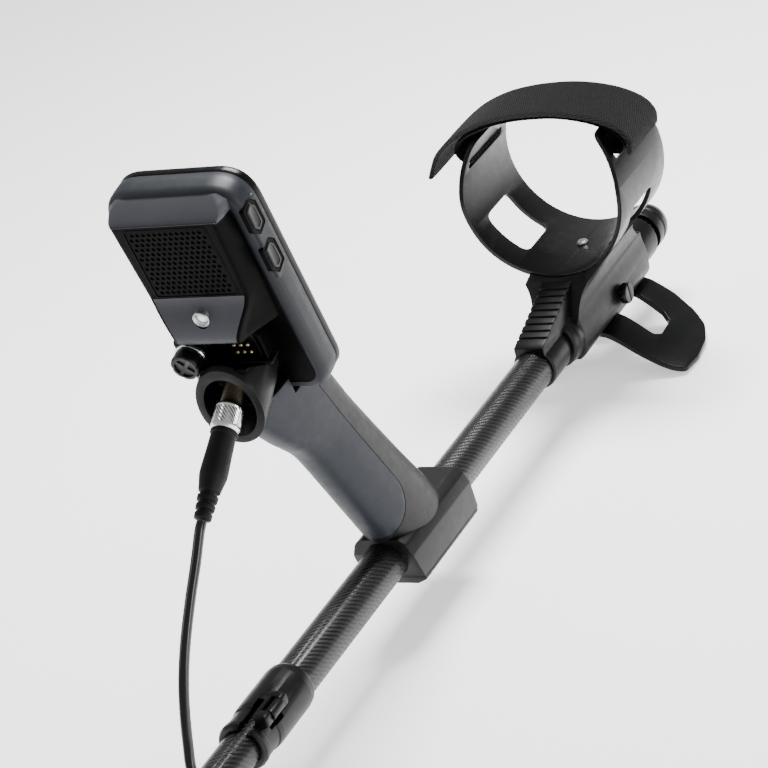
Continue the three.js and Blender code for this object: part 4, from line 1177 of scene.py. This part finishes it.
def cuff():
    """Cut flat, then rolled to the arm's radius; the flat's x is the arc length from the bottom."""
    mid = CUFF_R - CUFF_WALL / 2
    half_open = 130  # degrees from the bottom to each end of the cuff
    half = math.radians(half_open) * mid
    flat = rounded([(-half, 398), (-half + 40, 384), (-50, 382), (50, 382), (half - 40, 384), (half, 398),
                    (half, 456), (half - 20, 459), (-half + 20, 459), (-half, 456)],
                   [9, 40, 60, 60, 40, 9, 12, 20, 20, 12], 8)
    plate = prism("arm_cuff_shell", flat, "z", -CUFF_WALL / 2, CUFF_WALL / 2)
    holes = []
    for side in (-1, 1):
        a, b = math.radians(31) * mid, math.radians(69) * mid
        window = rounded([(side * a, 402), (side * b, 402), (side * b, 437), (side * a, 437)], 6, 6)
        holes.append(prism("window", window, "z", -9, 9))
        c = math.radians(107.5) * mid
        d = math.radians(114.5) * mid
        slit = rounded([(side * c, 398), (side * d, 398), (side * d, 450), (side * c, 450)], 2.5, 5)
        holes.append(prism("slit", slit, "z", -9, 9))
    holes.append(rod(1.7, -9, 9, "z", at=(0, 425), sides=24))
    cut(plate, *holes)
    bevel(plate, 0.75, 3, 50)
    columns(plate, [half * (2 * k / 96 - 1) for k in range(1, 96)])

    def roll(x, y, z):
        t = x / mid
        r = mid - z
        return (r * math.sin(t), y, CUFF_Z - r * math.cos(t))

    done(bend(plate, roll), "armrest", CUFF, ["arm_cuff"], 35)


def stand():
    """A flat plate with two rounded windows, curved down to its two feet."""
    edge = [(9, 400), (54, 400), (62, 402), (64, 420), (61.5, 440), (55, 457), (44, 468), (30, 474.5),
            (9, 476)]
    flat = rounded(edge + mirrored(edge), [0, 3, 6, 12, 20, 20, 20, 10, 0] * 2, 5)
    plate = prism("armrest_stand_plate", flat, "z", -2, 2)
    holes = []
    for side in (-1, 1):
        window = [(9.5, 426.5), (33, 424), (36.5, 428), (36.0, 445), (30, 450.5), (9.5, 455)]
        holes.append(prism("window", rounded([(side * x, y) for x, y in window], [1, 3, 4, 5, 5, 1], 5),
                           "z", -9, 9))
    cut(plate, *holes)
    bevel(plate, 0.9, 3, 50)
    columns(plate, [2.0 * k for k in range(-31, 32)])
    half = [(-66, -49.9), (-60, -48.4), (-48, -43.9), (-34, -35.4), (-20, -25), (-11, -20.2)]
    line = smooth_rows(half + [(0, -19.3)] + mirrored(half), 8)

    def drop(x, y, z):
        k = next((i for i, p in enumerate(line[1:], 1) if p[0] >= x), len(line) - 1)
        (xa, za), (xb, zb) = line[k - 1], line[k]
        slope = (zb - za) / (xb - xa)
        length = math.hypot(1, slope)
        return (x - z * slope / length, y, za + slope * (x - xa) + z / length)

    bend(plate, drop)
    foot = box("foot", -8.0, 8.0, 402.4, 473.6, -19.0, -15.9, edge=0.5)
    join(plate, foot)
    done(plate, "armrest", MOUNT, ["armrest_stand"], 35)
    head = soften([(0, 18), (1.3, 18), (1.3, 35.2), (3.9, 35.2), (3.9, 36.4), (3.0, 37.3), (0, 37.6)], 0.3)
    screw = lathe("cuff_pan_screw", head, axis="z", at=(0, 425), sides=40)
    cut(screw, box("slot", -4, 4, 424.6, 425.4, 36.8, 40), box("slot", -0.4, 0.4, 421, 429, 36.8, 40))
    done(screw, "armrest", STEEL, ["cuff_screw"], 35)


def strap_ply(name, line, width_y, half, nodes=()):
    """A woven strip that follows a line of x and z; the map runs along and across it."""
    points = [Vector((p[0], p[1])) for p in smooth_rows(line, 6)]
    run = [0.0]
    for a, b in zip(points, points[1:]):
        run.append(run[-1] + (b - a).length)
    y0, y1 = width_y
    count = 26
    bm = bmesh.new()
    uv = bm.loops.layers.uv.new("map")
    rows = []
    for i, p in enumerate(points):
        along = (points[min(i + 1, len(points) - 1)] - points[max(i - 1, 0)]).normalized()
        out = Vector((-along.y, along.x))
        row = []
        for k in range(2 * count):
            t = k / (count - 1) if k < count else (2 * count - 1 - k) / (count - 1)
            side = 1 if k < count else -1
            thin = min(1.0, math.sqrt(max(0.0, 1 - (2 * t - 1) ** 24)))
            lift = side * half * thin + 0.5 * math.sin(run[i] / 17 + 2.4 * t) * (t - 0.5)
            q = p + out * lift
            y = y0 + (y1 - y0) * t + 0.4 * math.sin(run[i] / 23)
            row.append((bm.verts.new(SHAFT @ Vector((q.x, y, q.y))), (run[i], (y1 - y0) * t)))
        rows.append(row)
    faces = []
    for a, b in zip(rows, rows[1:]):
        for i in range(2 * count):
            j = (i + 1) % (2 * count)
            faces.append((a[i], a[j], b[j], b[i]))
    for ring in faces + [rows[0], rows[-1]]:
        face = bm.faces.new([v for v, _ in ring])
        for loop, (_, mark) in zip(face.loops, ring):
            loop[uv].uv = mark
    bmesh.ops.recalc_face_normals(bm, faces=bm.faces)
    mesh = bpy.data.meshes.new(name)
    bm.to_mesh(mesh)
    bm.free()
    obj = new_object(name, mesh)
    done(obj, "armrest", STRAP, nodes, 50)
    return obj, run[-1], y1 - y0


def arm_strap():
    outer = [(-82, 101), (-78.5, 108), (-73, 116.5), (-63, 124.5), (-50, 131.5), (-34, 136.8),
             (-17, 139.6), (0, 140.6), (17, 140.2), (34, 137.4), (48, 132.8), (59, 126.0),
             (64.2, 117.5), (63.0, 109.5)]
    inner = [(-49.0, 110.5), (-51.5, 109.6), (-55.5, 110.3), (-58.6, 113.6), (-60.0, 118.4),
             (-56.5, 123.6), (-48, 128.6), (-33, 133.4), (-17, 136.1), (0, 137.0), (17, 136.6),
             (33, 133.8), (46, 129.4), (55.5, 123.2), (59.8, 116.2), (59.0, 111.5), (55.0, 109.4),
             (50.0, 110.6), (47.6, 115.0), (47.5, 121.0)]
    for name, line, width, half, nodes in (
        ("strap_outer", outer, (397.0, 447.0), 1.5, ["arm_strap"]),
        ("strap_inner", inner, (400.0, 448.0), 1.1, []),
    ):
        obj, length, across = strap_ply(name, line, width, half, nodes)


# ---- search coil ----
def coil_windows():
    """Two D-shaped windows, each bounded by an arc and the straight edge of the middle bar."""
    holes = []
    window_r, bar_half = 104, 34
    end = math.degrees(math.acos(bar_half / window_r))
    for side in (-1, 1):
        outline = [(side * x, COIL_Y + y) for x, y in arc(window_r, -end, end, 40)]
        radii = [10] + [0] * (len(outline) - 2) + [10]
        holes.append(prism("window", rounded(outline, radii, 6), "z", -60, -20))
    return holes


def pivot_hole():
    return rod(4.2, -30, 30, "x", at=(PIVOT_Y, 0), sides=40)


def coil():
    plate = prism("coil_housing", circle(COIL_R, 0, COIL_Y, 128), "z", -49.4, -33.0, edge=1.2,
                  edge_b=7.0, steps=6)
    cut(plate, *coil_windows())
    bevel(plate, 2.2, 4, 60)
    done(plate, "coil", COIL, ["coil_shell"])
    for i, r in enumerate((112.5, 121.0, 129.5)):
        half_width = 0.9
        ring = soften([(r - half_width - 0.5, -34), (r - half_width, -32.3), (r + half_width, -32.3),
                       (r + half_width + 0.5, -34)], 0.4)
        done(lathe("coil_ridge_%d" % i, ring, axis="z", at=(0, COIL_Y), sides=128, closed=True), "coil",
             COIL)
    ear_line = [(-27, -36), (27, -36), (20, -30), (12.5, 4), (8, 9.5), (0, 12.5), (-8, 9.5), (-12.5, 4),
                (-20, -30)]
    for side, name in ((-1, "right"), (1, "left")):
        outline = rounded([(PIVOT_Y + y, z) for y, z in ear_line], [1, 1, 10, 8, 6, 6, 6, 8, 10], 5)
        a, b = (11, 16.5) if side > 0 else (-16.5, -11)
        ear = prism("coil_ear_" + name, outline, "x", a, b, edge=0.9)
        done(cut(ear, pivot_hole()), "coil", COIL)
    spine = prism("coil_spine", rounded(rect(-24, 24, COIL_Y - 96, COIL_Y + 96), 16, 8), "z", -36,
                  -31.6, edge_b=2.2)
    done(spine, "coil", COIL)
    gland = soften([(3.2, -405), (4.6, -405), (5.6, -409), (5.6, -418), (6.4, -419), (6.4, -428),
                    (3.2, -428)], 0.5)
    gland = lathe("coil_cable_gland", gland, at=(24, -27), sides=40, closed=True)
    foot = box("gland_foot", 19.5, 28.5, -427, -409, -36, -27, edge=1.0)
    bore = rod(3.3, -400, -418.5, at=(24, -27), sides=32)
    join(gland, foot)
    done(cut(gland, bore), "coil", COIL)
    skid = prism("coil_skid", circle(COIL_R - 1.5, 0, COIL_Y, 128), "z", -52, -49.7, edge=1.2, edge_b=0.0)
    done(cut(skid, *coil_windows()), "coil", RUBBER, ["coil_skid_plate"])


def coil_joint():
    tongue = [(-446, -9), (PIVOT_Y, -11), (PIVOT_Y - 8, -8), (PIVOT_Y - 11, 0), (PIVOT_Y - 8, 8),
              (PIVOT_Y, 11), (-446, 9)]
    yoke = prism("yoke_tongue", rounded(tongue, [0, 4, 5, 5, 5, 4, 0], 5), "x", -8, 8, edge=0.8)
    neck = soften([(0, -436.3), (9.5, -436.3), (9.5, -449), (8.4, -453), (0, -453)], 0.8)
    join(yoke, lathe("neck", neck, sides=56))
    join(yoke, rod(8.0, -412, -440, sides=56))
    cut(yoke, pivot_hole())
    done(yoke, "lower", BLACK, ["coil_yoke"])
    bolt = soften([(0, -21), (6.8, -21), (8, -19.8), (8, -17), (3.8, -16.8), (3.8, 26.6), (0, 26.9)], 0.4)
    bolt = lathe("hinge_bolt", bolt, axis="x", at=(PIVOT_Y, 0), sides=48)
    cut(bolt, prism("key", circle(3.2, PIVOT_Y, 0, 6), "x", -30, -18.6))
    done(bolt, "coil", BLACK, ["coil_bolt"])
    nut = lathe("wing_nut", soften([(4.1, 16.9), (8, 16.9), (8, 22.5), (6.6, 25), (4.1, 25)], 0.5),
                axis="x", at=(PIVOT_Y, 0), sides=48, closed=True)
    wing = [(-19, -4.2), (-8, -4.6), (0, -6), (8, -4.6), (19, -4.2), (19, 4.2), (8, 4.6), (0, 6), (-8, 4.6),
            (-19, 4.2)]
    wings = prism("wings", rounded([(PIVOT_Y + y, z) for y, z in wing], [3.5, 6, 6, 6, 3.5] * 2, 5),
                  "x", 18.5, 23.5, edge=1.4)
    cut(wings, rod(6, 10, 30, "x", at=(PIVOT_Y, 0), sides=40))
    join(nut, wings)
    done(nut, "wing_nut", BLACK, ["coil_wing_nut"])


# ---- cable ties ----
def cable_ties():
    for name, y in (("upper", -156), ("lower", -262)):
        band = soften([(18.0, y), (19.3, y), (19.3, y + 14), (18.0, y + 14)], 0.4)
        obj = lathe("tie_band_" + name, band, sides=72, closed=True)
        done(obj, "middle", TIE, ["cable_tie_" + name])


# ---- nodes that keep their CAD shape ----
def keep_cad_shapes():
    looks = {"middle_shaft_bush": BLACK, "lower_shaft_bush": BLACK, "upper_lock_pin": STEEL,
             "lower_lock_pin": STEEL, "transmit_winding": COPPER, "receive_winding": COPPER,
             "coil_washer_left": RUBBER, "coil_washer_right": RUBBER, "battery_cell": CELL,
             "main_board": BOARD, "speaker_driver": LINER, "headphone_socket": STEEL}
    for name, material in looks.items():
        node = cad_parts[name]
        node.data.materials.clear()
        node.data.materials.append(material)


add_camera()
cables(connector())
add_stage()
shafts()
cam_locks()
handle()
pod_band()
side_pad()
pod_hump()
grille()
torch()
recess()
phone_cap()
shroud()
display_side()
display_picture()
armrest_mount()
armrest_knob()
cuff()
stand()
arm_strap()
coil()
coil_joint()
cable_ties()
keep_cad_shapes()
